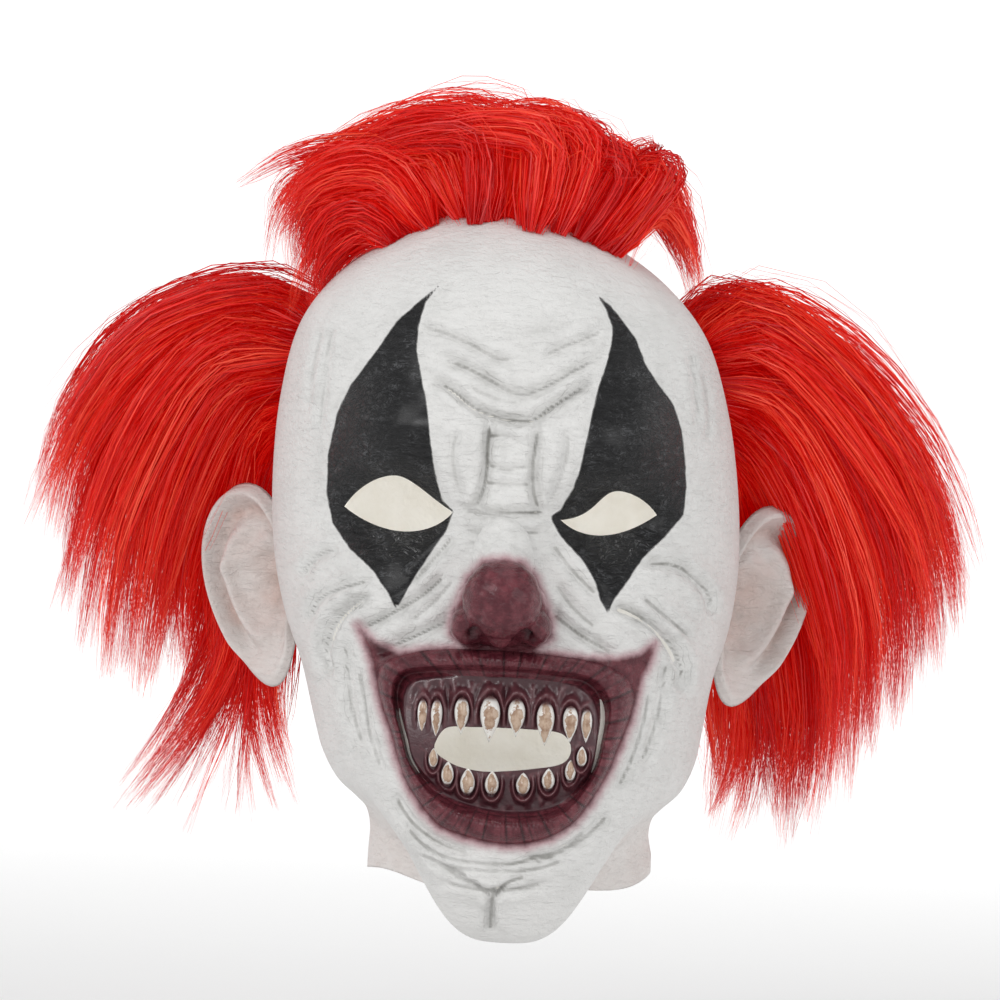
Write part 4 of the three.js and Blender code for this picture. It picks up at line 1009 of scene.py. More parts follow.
@dataclass
class Skin:
    """The painted head: a latex wall with holes for the eyes and the mouth."""

    head: HeadForm
    paint: Paint
    finishes: Finishes
    columns: int = 264
    rows: int = 306
    inner_columns: int = 80
    inner_rows: int = 70
    crowding: float = 0.3
    pole_share: float = 0.012

    def turns(self, columns: int) -> Array:
        """Return the angles of so many columns, crowded together at the face."""
        even = 2.0 * np.arange(columns) / columns - 1.0
        return math.pi * (self.crowding * even + (1.0 - self.crowding) * even**3)

    def wall(self, columns: int, rows: int, depth: float) -> Array:
        """Return the points of one side of the wall, row by row.

        Args:
            columns: Points in a row.
            rows: Number of rows.
            depth: Depth under the outer surface, nought for that surface itself, with its furrows.

        Returns:
            Places in millimetres, one row each.
        """
        t = np.interp(np.linspace(0.0, 1.0, rows), (0.0, 0.13, 0.92, 1.0), (self.pole_share, 0.2, 0.82, 1.0))
        turn = np.tile(self.turns(columns), rows)
        t = np.repeat(t, columns)
        points = self.head.point(turn, t)
        normals = self.head.normal(turn, t)
        if depth > 0.0:
            return points - depth * normals
        deep, _, _ = self.paint.furrows(self.head.view.seen(points))
        facing = ease(np.cos(turn), 0.02, 0.3)
        return points - (deep * facing)[:, None] * normals

    def shell(self) -> bpy.types.Object:
        """Return the closed wall before its holes are cut."""
        outer = self.wall(self.columns, self.rows, 0.0)
        inner = self.wall(self.inner_columns, self.inner_rows, self.head.wall)
        crown = np.array([[outer[:self.columns, 0].mean(), 0.0, outer[:self.columns, 2].mean() + 0.2]])
        inner_crown = crown - [[0.0, 0.0, self.head.wall]]
        points = np.vstack([outer, inner, crown, inner_crown])
        start = len(outer)
        crown_number = len(outer) + len(inner)
        outer_faces = grid_faces(self.rows, self.columns)
        inner_faces = grid_faces(self.inner_rows, self.inner_columns, start)[:, ::-1]
        ring = np.arange(self.columns)
        cap = np.stack([ring, np.full_like(ring, crown_number), (ring + 1) % self.columns], axis=1)
        inner_ring = np.arange(self.inner_columns)
        inner_next = (inner_ring + 1) % self.inner_columns
        inner_crowns = np.full_like(inner_ring, crown_number + 1)
        inner_cap = np.stack([start + inner_next, inner_crowns, start + inner_ring], axis=1)
        rim = self.rim_faces(start)
        triangles = np.vstack([cap, inner_cap, rim])
        faces = np.vstack([outer_faces, inner_faces, np.column_stack([triangles, triangles[:, 2]])])
        skin = mesh_object("latex_skin_face", points, faces)
        inside = np.zeros(len(faces), np.int32)
        inside[len(outer_faces):] = 1
        walls = len(outer_faces) + len(inner_faces)
        inside[walls:walls + len(cap)] = 0
        skin.data.polygons.foreach_set("material_index", inside)
        return skin

    def rim_faces(self, start: int) -> Array:
        """Return the triangles between the outer and the inner wall at the neck.

        Args:
            start: Number of the inner wall's first point.

        Returns:
            Corner numbers, three a row.
        """
        foot = (self.rows - 1) * self.columns
        inner_foot = start + (self.inner_rows - 1) * self.inner_columns
        faces = []
        j = 0
        for i in range(self.columns):
            faces.append([foot + i, foot + (i + 1) % self.columns, inner_foot + j % self.inner_columns])
            while (j + 1) * self.columns <= (i + 1) * self.inner_columns:
                faces.append([foot + (i + 1) % self.columns, inner_foot + (j + 1) % self.inner_columns,
                              inner_foot + j % self.inner_columns])
                j += 1
        return np.array(faces)

    def cutter(self, name: str, outline: Array, near: float, far: float) -> bpy.types.Object:
        """Return a prism that cuts a hole seen from the front.

        Args:
            name: Name of the prism.
            outline: Flat places round the hole.
            near: y of the prism's front.
            far: y of its back.

        Returns:
            The prism.
        """
        rings = [self.head.view.behind(outline, np.full(len(outline), y)) for y in (near, far)]
        points = np.vstack(rings + [ring.mean(axis=0) for ring in rings])
        prism = mesh_object(name, points, capped_faces(2, len(outline)))
        face_outwards(prism)
        prism.data.polygons.foreach_set("material_index", np.ones(len(prism.data.polygons), np.int32))
        return prism

    def build(self) -> bpy.types.Object:
        """Return the finished skin."""
        skin = self.shell()
        skin.data.materials.append(self.finishes.painted)
        skin.data.materials.append(self.finishes.bare)
        lip = 0.5 * (mouth_ring(LIP_OUTER, 120) + mouth_ring(LIP_INNER, 120))
        holes = {"left_eye": LEFT_EYE.outline(), "right_eye": RIGHT_EYE.outline(), "mouth": lip}
        for name, outline in holes.items():
            prism = self.cutter(name + "_cutter", outline, -160.0, -25.0)
            prism.data.materials.append(self.finishes.painted)
            prism.data.materials.append(self.finishes.bare)
            apply_modifier(skin, "BOOLEAN", object=prism, operation="DIFFERENCE", solver="MANIFOLD")
            bpy.data.objects.remove(prism)
        self.paint.dress(skin)
        return skin


MOUTH_CENTRE = (3.5, -216.5)


def mouth_ring(outline: Outline, steps: int) -> Array:
    """Return an outline of the mouth at even angles round its centre.

    Args:
        outline: Knots of the outline.
        steps: Number of angles.

    Returns:
        Flat places, one for each angle from the image's right by way of the top.
    """
    fine = curve_through(outline, 900, True) - MOUTH_CENTRE
    angle = np.arctan2(fine[:, 1], fine[:, 0])
    order = np.argsort(angle)
    wanted = np.linspace(-math.pi, math.pi, steps, endpoint=False)
    reach = np.interp(wanted, angle[order], np.hypot(*fine[order].T), period=2.0 * math.pi)
    return np.stack([np.cos(wanted), np.sin(wanted)], axis=1) * reach[:, None] + MOUTH_CENTRE


@dataclass
class ToothPlace:
    """The place of one tooth: its middle and half sizes in millimetres."""

    node: str
    middle: Array
    half: Array
    upper: bool

    @classmethod
    def of_node(cls, node: str) -> "ToothPlace":
        """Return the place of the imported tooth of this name."""
        low, high = (np.array(corner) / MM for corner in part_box(node))
        return cls(node, (low + high) / 2.0, (high - low) / 2.0, node.startswith("upper"))


@dataclass
class Mouth:
    """The lips and the gums between them, in one moulding."""

    head: HeadForm
    paint: Paint
    finishes: Finishes
    teeth: list[ToothPlace]
    angles: int = 600
    lip_rows: int = 20
    wall_rows: int = 6
    gum_rows: int = 34
    back_rows: int = 8
    lip_stand: float = 5.0
    lip_turn_in: float = 4.5
    gum_back: float = 13.0
    gum_wall: float = 3.0
    middle_x: float = 3.5
    gape_z: float = -218.5
    half_wide: float = 47.0
    gape_half_high: float = 8.0
    full_rouge: float = 6.0

    def gum_y(self, places: Array) -> Array:
        """Return the y of the bare gum at flat places."""
        middle = self.head.face_point(np.array([[self.middle_x, self.gape_z]]))[0, 1]
        across = (places[:, 0] - self.middle_x) / self.half_wide
        arch = middle + self.gum_back + 0.5 * self.gum_back * across**2
        shelf = 0.35 * self.gum_back * bell((places[:, 1] - self.gape_z) / (2.2 * self.gape_half_high))
        return arch - shelf

    def gum_relief(self, places: Array) -> tuple[Array, Array]:
        """Work out the sockets and ridges of the gum.

        Args:
            places: Flat places on the gum.

        Returns:
            How far the gum stands forward and how much of a ridge each place is, which sets its painted
            highlight.
        """
        push = np.zeros(len(places))
        ridge = np.zeros(len(places))
        for tooth in self.teeth:
            across = (places[:, 0] - tooth.middle[0]) / (tooth.half[0] + 0.6)
            up = (places[:, 1] - tooth.middle[2]) / (tooth.half[2] + (0.2 if tooth.upper else 1.0))
            ring = np.hypot(across, up)
            tall = 2.1 if tooth.upper else 2.6
            at_root = ease(up if tooth.upper else -up, -0.9, 0.3)
            collar = tall * bell((ring - 1.22) / 0.22) * at_root
            push = np.maximum(push, collar)
            push -= 1.4 * bell(ring / 0.75)
            ridge = np.maximum(ridge, bell((ring - 1.2) / 0.18) * at_root)
        above = ease(places[:, 1], -203.0, -198.0)
        below = ease(-places[:, 1], 234.0, 238.0)
        folds = np.sin(places[:, 0] * 1.05 + 0.8 * np.sin(places[:, 0] * 0.31))
        push += (0.9 * above + 0.4 * below) * folds
        ridge = np.maximum(ridge, 0.5 * above * ease(folds, 0.2, 0.9))
        return push, ridge

    def wrinkle(self, angle: Array) -> Array:
        """Return the fine folds that run across the lips, from -1 to 1."""
        waves = ((71, 0.4, 0.35), (97, 1.9, 0.3), (131, 4.1, 0.25), (43, 2.2, 0.25))
        return sum(share * np.sin(count * angle + phase) for count, phase, share in waves)

    def build(self) -> bpy.types.Object:
        """Return the finished lips and gums."""
        outer, inner, gape = (mouth_ring(line, self.angles) for line in (LIP_OUTER, LIP_INNER, GAPE))
        angle = np.linspace(-math.pi, math.pi, self.angles, endpoint=False)
        folds = self.wrinkle(angle)
        rows: list[Array] = []
        ridges: list[Array] = []
        for share in np.linspace(0.0, 1.0, self.lip_rows):
            flat = outer + (inner - outer) * share
            front = self.head.face_point(flat)
            roll = math.sin(math.pi * share) ** 0.7 if 0.0 < share < 1.0 else 0.0
            y = front[:, 1] + 1.6 * (1.0 - ease(share, 0.0, 0.14)) - self.lip_stand * roll
            y = y + self.lip_turn_in * ease(share, 0.72, 1.0) + 0.6 * folds * roll
            rows.append(np.stack([front[:, 0], y, front[:, 2]], axis=1))
            ridges.append(np.zeros(self.angles))
        edge = rows[-1]
        back_share = 0.14
        for share in np.linspace(0.0, 1.0, self.wall_rows + 1)[1:]:
            flat = inner + (gape - inner) * back_share * share
            y = edge[:, 1] + (self.gum_y(flat) - edge[:, 1]) * ease(share, 0.0, 1.0)
            rows.append(np.stack([flat[:, 0], y, flat[:, 1]], axis=1))
            ridges.append(np.zeros(self.angles))
        for share in np.linspace(back_share, 1.0, self.gum_rows + 1)[1:]:
            flat = inner + (gape - inner) * share
            push, ridge = self.gum_relief(flat)
            fade = ease(share, back_share, back_share + 0.15) * ease(1.0 - share, 0.0, 0.06)
            y = self.gum_y(flat) - push * fade
            rows.append(np.stack([flat[:, 0], y, flat[:, 1]], axis=1))
            ridges.append(ridge * fade)
        rows.append(rows[-1] + [0.0, 0.5 * self.gum_wall, 0.0])
        ridges.append(np.zeros(self.angles))
        behind = self.head.face_point(outer)
        behind[:, 1] += self.head.wall + 1.2
        for share in np.linspace(0.0, 1.0, self.back_rows):
            flat = gape + (outer - gape) * (share * 0.92)
            y = self.gum_y(flat) + self.gum_wall
            y = y + (behind[:, 1] - y) * ease(share, 0.62, 1.0)
            rows.append(np.stack([flat[:, 0], y, flat[:, 1]], axis=1))
            ridges.append(np.zeros(self.angles))
        count = len(rows)
        faces = grid_faces(count, self.angles)
        last = (count - 1) * self.angles + np.arange(self.angles)
        following = (count - 1) * self.angles + (np.arange(self.angles) + 1) % self.angles
        closing = np.stack([last, following, following % self.angles, last % self.angles], axis=1)
        mouth = mesh_object("lips_and_gums", np.vstack(rows), np.vstack([faces, closing]))
        mouth.data.materials.append(self.finishes.painted)
        mouth.data.materials.append(self.finishes.gum)
        mouth.data.materials.append(self.finishes.bare)
        row_of_face = np.repeat(np.arange(count), self.angles)
        gum_start = self.lip_rows + self.wall_rows // 2
        front_rows = self.lip_rows + self.wall_rows + self.gum_rows + 1
        kinds = np.where(row_of_face < gum_start, 0, np.where(row_of_face < front_rows, 1, 2))
        mouth.data.polygons.foreach_set("material_index", kinds.astype(np.int32))
        self.paint.dress(mouth)
        # Painted highlight on the gum's ridges.
        store(mouth.data, "ridge", np.concatenate(ridges))
        # Painted shade in the folds that run across the lips.
        store(mouth.data, "crease", np.tile(ease(folds, 0.1, 0.9), count))
        store(mouth.data, "rouge", np.full(count * self.angles, self.full_rouge))
        return mouth


@dataclass(frozen=True)
class Lump:
    """A rounded mass of the nose, from the middle of its ball: place and half sizes in millimetres."""

    place: tuple[float, float, float]
    half: tuple[float, float, float]


NOSE_LUMPS = (
    Lump((0.3, 0.0, 0.0), (15.8, 15.7, 15.8)),
    Lump((0.0, 11.0, 9.0), (11.5, 15.0, 15.0)),
    Lump((0.0, 17.0, 15.0), (12.5, 12.0, 18.0)),
    Lump((-12.6, 13.0, -11.0), (7.4, 11.5, 7.8)),
    Lump((13.2, 13.0, -10.6), (7.4, 11.5, 7.8)),
    Lump((0.2, 7.0, -13.0), (6.0, 10.0, 6.2)),
    Lump((0.2, 20.0, -4.0), (18.5, 12.0, 16.0)),
)


@dataclass
class Nose:
    """The ball nose with its wings and nostrils."""

    head: HeadForm
    paint: Paint
    finishes: Finishes
    x: float = 0.0
    z: float = -157.5
    radius: float = 15.7
    reach: float = 34.0
    voxel: float = 0.75

    def build(self) -> bpy.types.Object:
        """Return the finished nose, which runs back into the face."""
        behind = self.head.face_point(np.array([[0.0, self.z + 0.5 * self.radius]]))[0, 1]
        ball_y = behind - self.reach + self.radius
        lumps = []
        for lump in NOSE_LUMPS:
            place = Vector(lump.place) + Vector((self.x, ball_y, self.z))
            bpy.ops.mesh.primitive_uv_sphere_add(segments=48, ring_count=32, radius=1.0, location=place * MM)
            sphere = bpy.context.object
            sphere.scale = Vector(lump.half) * MM
            lumps.append(sphere)
        choose_only(*lumps)
        bpy.ops.object.transform_apply(location=True, rotation=True, scale=True)
        bpy.ops.object.join()
        nose = bpy.context.object
        nose.name = "latex_nose"
        nose.data.name = "latex_nose"
        apply_modifier(nose, "REMESH", mode="VOXEL", voxel_size=self.voxel * MM)
        apply_modifier(nose, "SMOOTH", factor=0.5, iterations=8)
        dark = self.sculpt(nose, ball_y)
        choose_only(nose)
        bpy.ops.object.shade_smooth()
        nose.data.materials.append(self.finishes.painted)
        self.paint.dress(nose)
        # Painted shade in the nostrils.
        store(nose.data, "crease", dark)
        return nose

    def sculpt(self, nose: bpy.types.Object, ball_y: float) -> Array:
        """Press the nostrils, the tip's cleft and fine folds into the nose.

        Args:
            nose: Nose to work on.
            ball_y: y of the middle of its ball.

        Returns:
            How much painted shade lies at each point, darkest in the nostrils.
        """
        points = points_of(nose.data)
        normals = np.empty(3 * len(points), np.float32)
        nose.data.vertices.foreach_get("normal", normals)
        normals = normals.reshape(-1, 3)
        local = points - [self.x, ball_y, self.z]
        press = np.zeros(len(points))
        dark = np.zeros(len(points))
        for side in (-1, 1):
            hole = np.stack([(local[:, 0] - side * 10.4) / 3.6, (local[:, 1] - 3.0) / 7.0,
                             (local[:, 2] + 15.4) / 3.2], axis=1)
            press += 5.0 * bell(np.linalg.norm(hole, axis=1))
            dark = np.maximum(dark, bell(0.9 * np.linalg.norm(hole, axis=1)))
            groove = np.stack([(local[:, 0] - side * 8.6) / 2.0, (local[:, 2] + 9.0) / 8.0], axis=1)
            press += 0.7 * bell(np.linalg.norm(groove, axis=1)) * ease(-local[:, 1], -12.0, 0.0)
        press += 0.5 * bell(local[:, 0] / 1.6) * ease(-local[:, 2], 2.0, 9.0) * ease(-local[:, 1], 4.0, 12.0)
        press += 0.22 * np.sin(local[:, 0] * 0.9 + local[:, 2] * 0.6) * np.sin(local[:, 2] * 0.8)
        moved = (points - press[:, None] * normals) * MM
        nose.data.vertices.foreach_set("co", moved.astype(np.float32).ravel())
        nose.data.update()
        return dark


@dataclass
class Ear:
    """A latex ear: helix, fold, bowl and lobe over a thin flap."""

    head: HeadForm
    paint: Paint
    finishes: Finishes
    side: int
    high: float = 88.0
    wide: float = 46.0
    z: float = -154.0
    back_angle: float = 38.0
    tilt: float = 17.0
    thick: float = 4.5
    around: int = 144
    rings: int = 44

    def surface(self, angle: Array, share: Array, outer: bool) -> Array:
        """Return points of the ear's front or back in the ear's own frame.

        Args:
            angle: Angles round the ear, nought straight out.
            share: Shares of the way from the middle to the edge.
            outer: Whether it is the front that shows.

        Returns:
            Places in millimetres, one row each, x counted outwards and -y to the front.
        """
        height = 0.5 * self.high * np.sin(angle) * (1.0 - 0.06 * np.cos(angle))
        reach = 0.5 * self.wide * (np.cos(angle) * (1.0 + 0.22 * np.sin(angle)) + 0.1)
        x = share * reach + 0.3 * self.wide
        z = share * height
        up = z / (0.5 * self.high)
        lobe = ease(-up, 0.45, 0.75)
        rim = bell((share - 0.9) / 0.075) * (1.0 - 0.75 * lobe)
        channel = bell((share - 0.72) / 0.09) * (1.0 - lobe)
        fold = bell((share - 0.52) / 0.1) * ease(np.cos(angle), -0.55, 0.1) * (1.0 - lobe)
        upper_fold = bell((up - 0.42 + 0.3 * (x / self.wide)) / 0.09) * ease(0.75 - share, 0.0, 0.2)
        bowl = bell(np.hypot((x - 0.17 * self.wide) / (0.3 * self.wide), (up + 0.06) / 0.38))
        tragus = bell(np.hypot((x + 0.01 * self.wide) / 5.0, (z + 0.06 * self.high) / 7.0))
        front = -5.5 * rim + 3.2 * channel - 4.4 * fold - 2.4 * upper_fold + 11.0 * bowl - 6.0 * tragus
        edge = ease(share, 0.9, 1.0)
        y = front if outer else 0.55 * front + self.thick * (1.0 - 0.3 * lobe)
        middle = 0.78 * front + 0.5 * self.thick
        y = y + (middle - y) * edge**2
        return np.stack([x, y, z], axis=1)

    def build(self) -> bpy.types.Object:
        """Return the finished ear."""
        angle = np.linspace(0.0, 2.0 * math.pi, self.around, endpoint=False)
        front = [self.surface(angle, np.full(self.around, share), True)
                 for share in np.linspace(0.01, 1.0, self.rings)]
        back = [self.surface(angle, np.full(self.around, share), False)
                for share in np.linspace(0.985, 0.01, self.rings // 2)]
        rings = front + back
        local = np.vstack(rings + [rings[0].mean(axis=0), rings[-1].mean(axis=0)])
        turn = self.side * (math.pi / 2.0 + 0.1)
        t = self.head.height_share(turn, self.z)
        root = self.head.point(np.array([turn]), np.array([t]))[0]
        frame = Matrix.Translation((root[0], root[1], self.z))
        frame = frame @ Matrix.Rotation(self.side * math.radians(self.back_angle), 4, "Z")
        frame = frame @ Matrix.Rotation(self.side * math.radians(self.tilt), 4, "Y")
        local[:, 0] *= self.side
        turned = local @ np.array(frame.to_3x3()).T + np.array(frame.translation)
        name = ("left" if self.side < 0 else "right") + "_latex_ear"
        ear = mesh_object(name, turned, capped_faces(len(rings), self.around))
        face_outwards(ear)
        ear.data.materials.append(self.finishes.painted)
        self.paint.dress(ear)
        shade = self.shade(local)
        # Painted shade in the bowl and the channel, in grey and in a warmer flesh colour.
        store(ear.data, "wash_and_shade", shade)
        store(ear.data, "warm", 0.35 + 0.6 * shade)
        return ear

    def shade(self, local: Array) -> Array:
        """Return how much painted shade lies in the bowl and the channel.

        Args:
            local: Points of the ear in its own frame, the front's rings first.

        Returns:
            The share of painted shade at each point.
        """
        up = local[:, 2] / (0.5 * self.high)
        across = (np.abs(local[:, 0]) - 0.17 * self.wide) / (0.26 * self.wide)
        bowl = bell(np.hypot(across, (up + 0.06) / 0.34))
        shares = np.linspace(0.01, 1.0, self.rings)
        channel = np.zeros(len(local))
        channel[:self.rings * self.around] = np.repeat(bell((shares - 0.74) / 0.07), self.around)
        return np.maximum(bowl, 0.8 * channel * ease(up, -0.6, -0.2))


@dataclass
class Tooth:
    """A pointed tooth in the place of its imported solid."""

    place: ToothPlace
    finishes: Finishes
    around: int = 20
    rows: int = 16

    def build(self) -> bpy.types.Object:
        """Return the finished tooth."""
        share = np.linspace(0.0, 1.0, self.rows)
        if self.place.upper:
            wide = np.sin(math.pi * share**0.72) ** 0.85 * (1.0 - 0.28 * ease(share, 0.6, 1.0))
        else:
            wide = np.sin(math.pi * share**0.85) ** 0.75
        wide = np.clip(wide / wide.max(), 0.0, 1.0)
        way = -1.0 if self.place.upper else 1.0
        angle = np.linspace(0.0, 2.0 * math.pi, self.around, endpoint=False)
        rows = []
        cores = []
        ends = []
        for i in range(1, self.rows - 1):
            x = self.place.half[0] * wide[i] * np.cos(angle)
            y = self.place.half[1] * wide[i] * np.sin(angle)
            ridge = -0.12 * self.place.half[1] * bell(np.cos(angle) / 0.35) * (np.sin(angle) < 0.0)
            bow = -0.25 * self.place.half[1] * math.sin(math.pi * share[i])
            z = np.full(self.around, way * self.place.half[2] * (2.0 * share[i] - 1.0))
            rows.append(np.stack([x, y + ridge + bow * 0.4, z], axis=1))
            inner = 1.0 - np.abs(np.cos(angle)) ** 2.2
            cores.append(inner * math.sin(math.pi * share[i]) ** 0.6 * (np.sin(angle) < 0.2))
            ends.append(np.full(self.around, float(ease(np.array(0.16 - share[i]), 0.0, 0.12))))
        tips = np.array([[0.0, 0.0, -way * self.place.half[2]], [0.0, 0.0, way * self.place.half[2]]])
        points = np.vstack(rows + [tips]) + self.place.middle
        tooth = mesh_object(self.place.node + "_enamel", points, capped_faces(len(rows), self.around))
        face_outwards(tooth)
        tooth.data.materials.append(self.finishes.tooth)
        store(tooth.data, "core", np.concatenate(cores + [np.zeros(2)]))
        store(tooth.data, "root_end", np.concatenate(ends + [np.array([1.0, 0.0])]))
        return tooth


@dataclass(frozen=True)
class Lock:
    """A lock of hair from root to tip as seen from the front, in millimetres."""

    path: Outline
    thick: float = 9.0
    share: float = 1.0


LEFT_LOCKS = (
    Lock(((-90, -45), (-119, -33), (-158, -50), (-182, -86), (-191, -122))),
    Lock(((-90, -48), (-122, -43), (-154, -64), (-176, -100), (-184, -136)), 8.0, 0.8),
    Lock(((-90, -54), (-124, -53), (-150, -82), (-166, -128), (-169, -172))),
    Lock(((-90, -60), (-120, -63), (-140, -98), (-154, -142), (-157, -196)), 8.0),
    Lock(((-91, -66), (-116, -71), (-132, -105), (-142, -152), (-144, -202)), 8.0),
    Lock(((-92, -74), (-112, -82), (-122, -119), (-127, -158), (-124, -188)), 9.0),
    Lock(((-92, -82), (-108, -93), (-113, -132), (-114, -172), (-115, -202)), 8.0),
    Lock(((-92, -88), (-107, -103), (-107, -160), (-120, -208), (-150, -254)), 5.0, 0.7),
    Lock(((-92, -92), (-105, -108), (-107, -160), (-114, -204), (-132, -246)), 5.0, 0.5),
    Lock(((-91, -96), (-102, -116), (-102, -168), (-98, -212), (-79, -250)), 5.0, 0.6),
    Lock(((-90, -102), (-96, -128), (-94, -164), (-92, -186), (-88, -206)), 5.0, 0.4),
)
RIGHT_LOCKS = (
    Lock(((80, -47), (104, -29), (141, -51), (171, -94), (187, -142))),
    Lock(((82, -50), (109, -40), (144, -69), (173, -115), (181, -164)), 9.0),
    Lock(((83, -56), (114, -53), (144, -89), (167, -136), (168, -186)), 9.0),
    Lock(((85, -64), (114, -69), (139, -106), (155, -154), (153, -204)), 9.0),
    Lock(((87, -72), (112, -84), (132, -122), (144, -172), (141, -222)), 9.0),
    Lock(((88, -82), (109, -98), (123, -142), (132, -190), (127, -238)), 9.0),
    Lock(((89, -92), (104, -114), (112, -160), (118, -204), (115, -241)), 8.0),
    Lock(((90, -100), (99, -130), (103, -176), (104, -212), (93, -243)), 7.0, 0.8),
    Lock(((90, -108), (94, -140), (91, -180), (87, -206), (88, -233)), 5.0, 0.6),
)
CREST_LOCKS = (
    Lock(((-56, -24), (-65, -20), (-72, -25), (-77, -34), (-79, -46)), 6.0, 0.6),
    Lock(((-52, -20), (-63, -12), (-73, -14), (-80, -26), (-82, -42)), 7.0, 0.8),
    Lock(((-48, -18), (-62, -7), (-76, -9), (-83, -24), (-81, -42)), 6.0, 0.6),
    Lock(((-46, -16), (-62, -1), (-78, 1), (-90, -6), (-91, -26)), 8.0),
    Lock(((-38, -13), (-54, 7), (-72, 9), (-88, 2), (-97, -9)), 9.0),
    Lock(((-26, -12), (-38, 14), (-56, 18), (-76, 10), (-91, -1)), 9.0),
    Lock(((-12, -12), (-16, 20), (-38, 24), (-60, 18), (-80, 6)), 9.0),
    Lock(((2, -11), (4, 23), (-16, 28), (-40, 24), (-62, 14)), 9.0),
    Lock(((16, -13), (22, 20), (6, 28), (-16, 28), (-40, 22)), 9.0),
    Lock(((32, -14), (40, 14), (28, 22), (6, 26), (-14, 26)), 9.0),
    Lock(((44, -18), (54, 7), (46, 15), (30, 19), (12, 22)), 9.0),
    Lock(((54, -23), (64, 1), (62, 9), (50, 11), (34, 16)), 8.0),
    Lock(((58, -26), (68, -3), (71, 1), (73, -9), (72, -22)), 7.0),
    Lock(((62, -29), (71, -9), (75, -12), (75, -26), (71, -42)), 5.0, 0.6),
)


@dataclass
class Strands:
    """Ribbons of hair that share one mesh."""

    rng: np.random.Generator
    steps: int = 9
    points: list[Array] = field(default_factory=list)
    faces: list[Array] = field(default_factory=list)
    tones: list[Array] = field(default_factory=list)
    across: list[Array] = field(default_factory=list)
    along: list[Array] = field(default_factory=list)
    count: int = 0

    def lay(self, centres: Array, width: Array, tone: Array) -> None:
        """Lay ribbons along centre lines.

        Args:
            centres: Places, strands by steps by three.
            width: Width of each strand at its thickest, in millimetres.
            tone: Tone of each strand, from 0, deep, to 1, bright.
        """
        strands, steps, _ = centres.shape
        along = np.gradient(centres, axis=1)
        along /= np.linalg.norm(along, axis=2, keepdims=True) + 1e-9
        aim = self.rng.normal(size=(strands, 1, 3))
        side = np.cross(along, np.broadcast_to(aim, along.shape))
        side /= np.linalg.norm(side, axis=2, keepdims=True) + 1e-9
        share = np.linspace(0.0, 1.0, steps)
        taper = (0.75 + 0.25 * np.sin(math.pi * share)) * (1.0 - 0.85 * ease(share, 0.6, 1.0))
        half = 0.5 * width[:, None, None] * taper[None, :, None]
        block = np.stack([centres - side * half, centres + side * half], axis=2)
        self.points.append(block.reshape(-1, 3))
        strand, step = np.meshgrid(np.arange(strands), np.arange(steps - 1), indexing="ij")
        base = self.count + (strand * steps + step) * 2
        self.faces.append(np.stack([base, base + 1, base + 3, base + 2], axis=-1).reshape(-1, 4))
        self.tones.append(np.repeat(tone, steps * 2))
        starts = np.repeat(self.rng.uniform(0, 90, strands), steps * 2)
        self.across.append(np.tile([0.0, 1.0], strands * steps) + starts)
        self.along.append(np.tile(np.repeat(share, 2), strands))
        self.count += strands * steps * 2

    def clump(self, guides: Array, thick: float, strands: int, width: float, tone: float,
              loose: float) -> None:
        """Lay a clump of strands that gather towards the tip.

        Args:
            guides: Guide points of the clump's middle.
            thick: Half width of the clump, in millimetres.
            strands: Number of strands.
            width: Width of a strand, in millimetres.
            tone: Tone of the clump.
            loose: How far single strands stray.
        """
        rng = self.rng
        fine = curve_through(guides, 40, False)
        along = np.gradient(fine, axis=0)
        along /= np.linalg.norm(along, axis=1, keepdims=True)
        across = np.cross(np.array([0.0, 1.0, 0.0]), along)
        across /= np.linalg.norm(across, axis=1, keepdims=True) + 1e-9
        through = np.cross(along, across)
        length = rng.uniform(0.5, 1.0, strands) ** 0.6
        share = np.linspace(0.0, 1.0, self.steps)
        place = length[:, None] * share[None, :] * (len(fine) - 1)
        knots = np.arange(len(fine))

        def sample(values: Array) -> Array:
            """Return three columns of values at every strand's steps."""
            return np.stack([np.interp(place, knots, values[:, k]) for k in range(3)], axis=-1)

        at = place / (len(fine) - 1)
        spread = thick * (0.45 + 0.75 * np.sin(math.pi * at**0.6) - 0.1 * ease(at, 0.6, 1.0))
        angle = rng.uniform(0.0, 2.0 * math.pi, strands)[:, None]
        radius = np.sqrt(rng.uniform(0.0, 1.0, strands))[:, None]
        swirl = angle + rng.normal(0.0, 0.5, strands)[:, None] * at
        wave = rng.uniform(0.5, 1.3, strands)[:, None] * loose * at**1.3
        phase = rng.uniform(0.0, 2.0 * math.pi, strands)[:, None]
        beat = rng.uniform(1.2, 3.4, strands)[:, None]
        off_across = spread * radius * np.cos(swirl) + wave * np.sin(2.0 * math.pi * beat * at + phase)
        off_through = spread * radius * np.sin(swirl) + wave * np.cos(1.7 * math.pi * beat * at + phase)
        centres = sample(fine) + sample(across) * off_across[..., None]
        centres = centres + sample(through) * off_through[..., None]
        tones = np.clip(tone + rng.normal(0.0, 0.2, strands), 0.0, 1.0)
        self.lay(centres, width * rng.uniform(0.6, 1.3, strands), tones)

    def finish(self, name: str, material: bpy.types.Material) -> bpy.types.Object:
        """Return one object of all that was laid."""
        piece = mesh_object(name, np.vstack(self.points), np.vstack(self.faces))
        piece.data.materials.append(material)
        store(piece.data, "tone", np.concatenate(self.tones))
        store(piece.data, "across", np.concatenate(self.across))
        store(piece.data, "along", np.concatenate(self.along))
        return piece


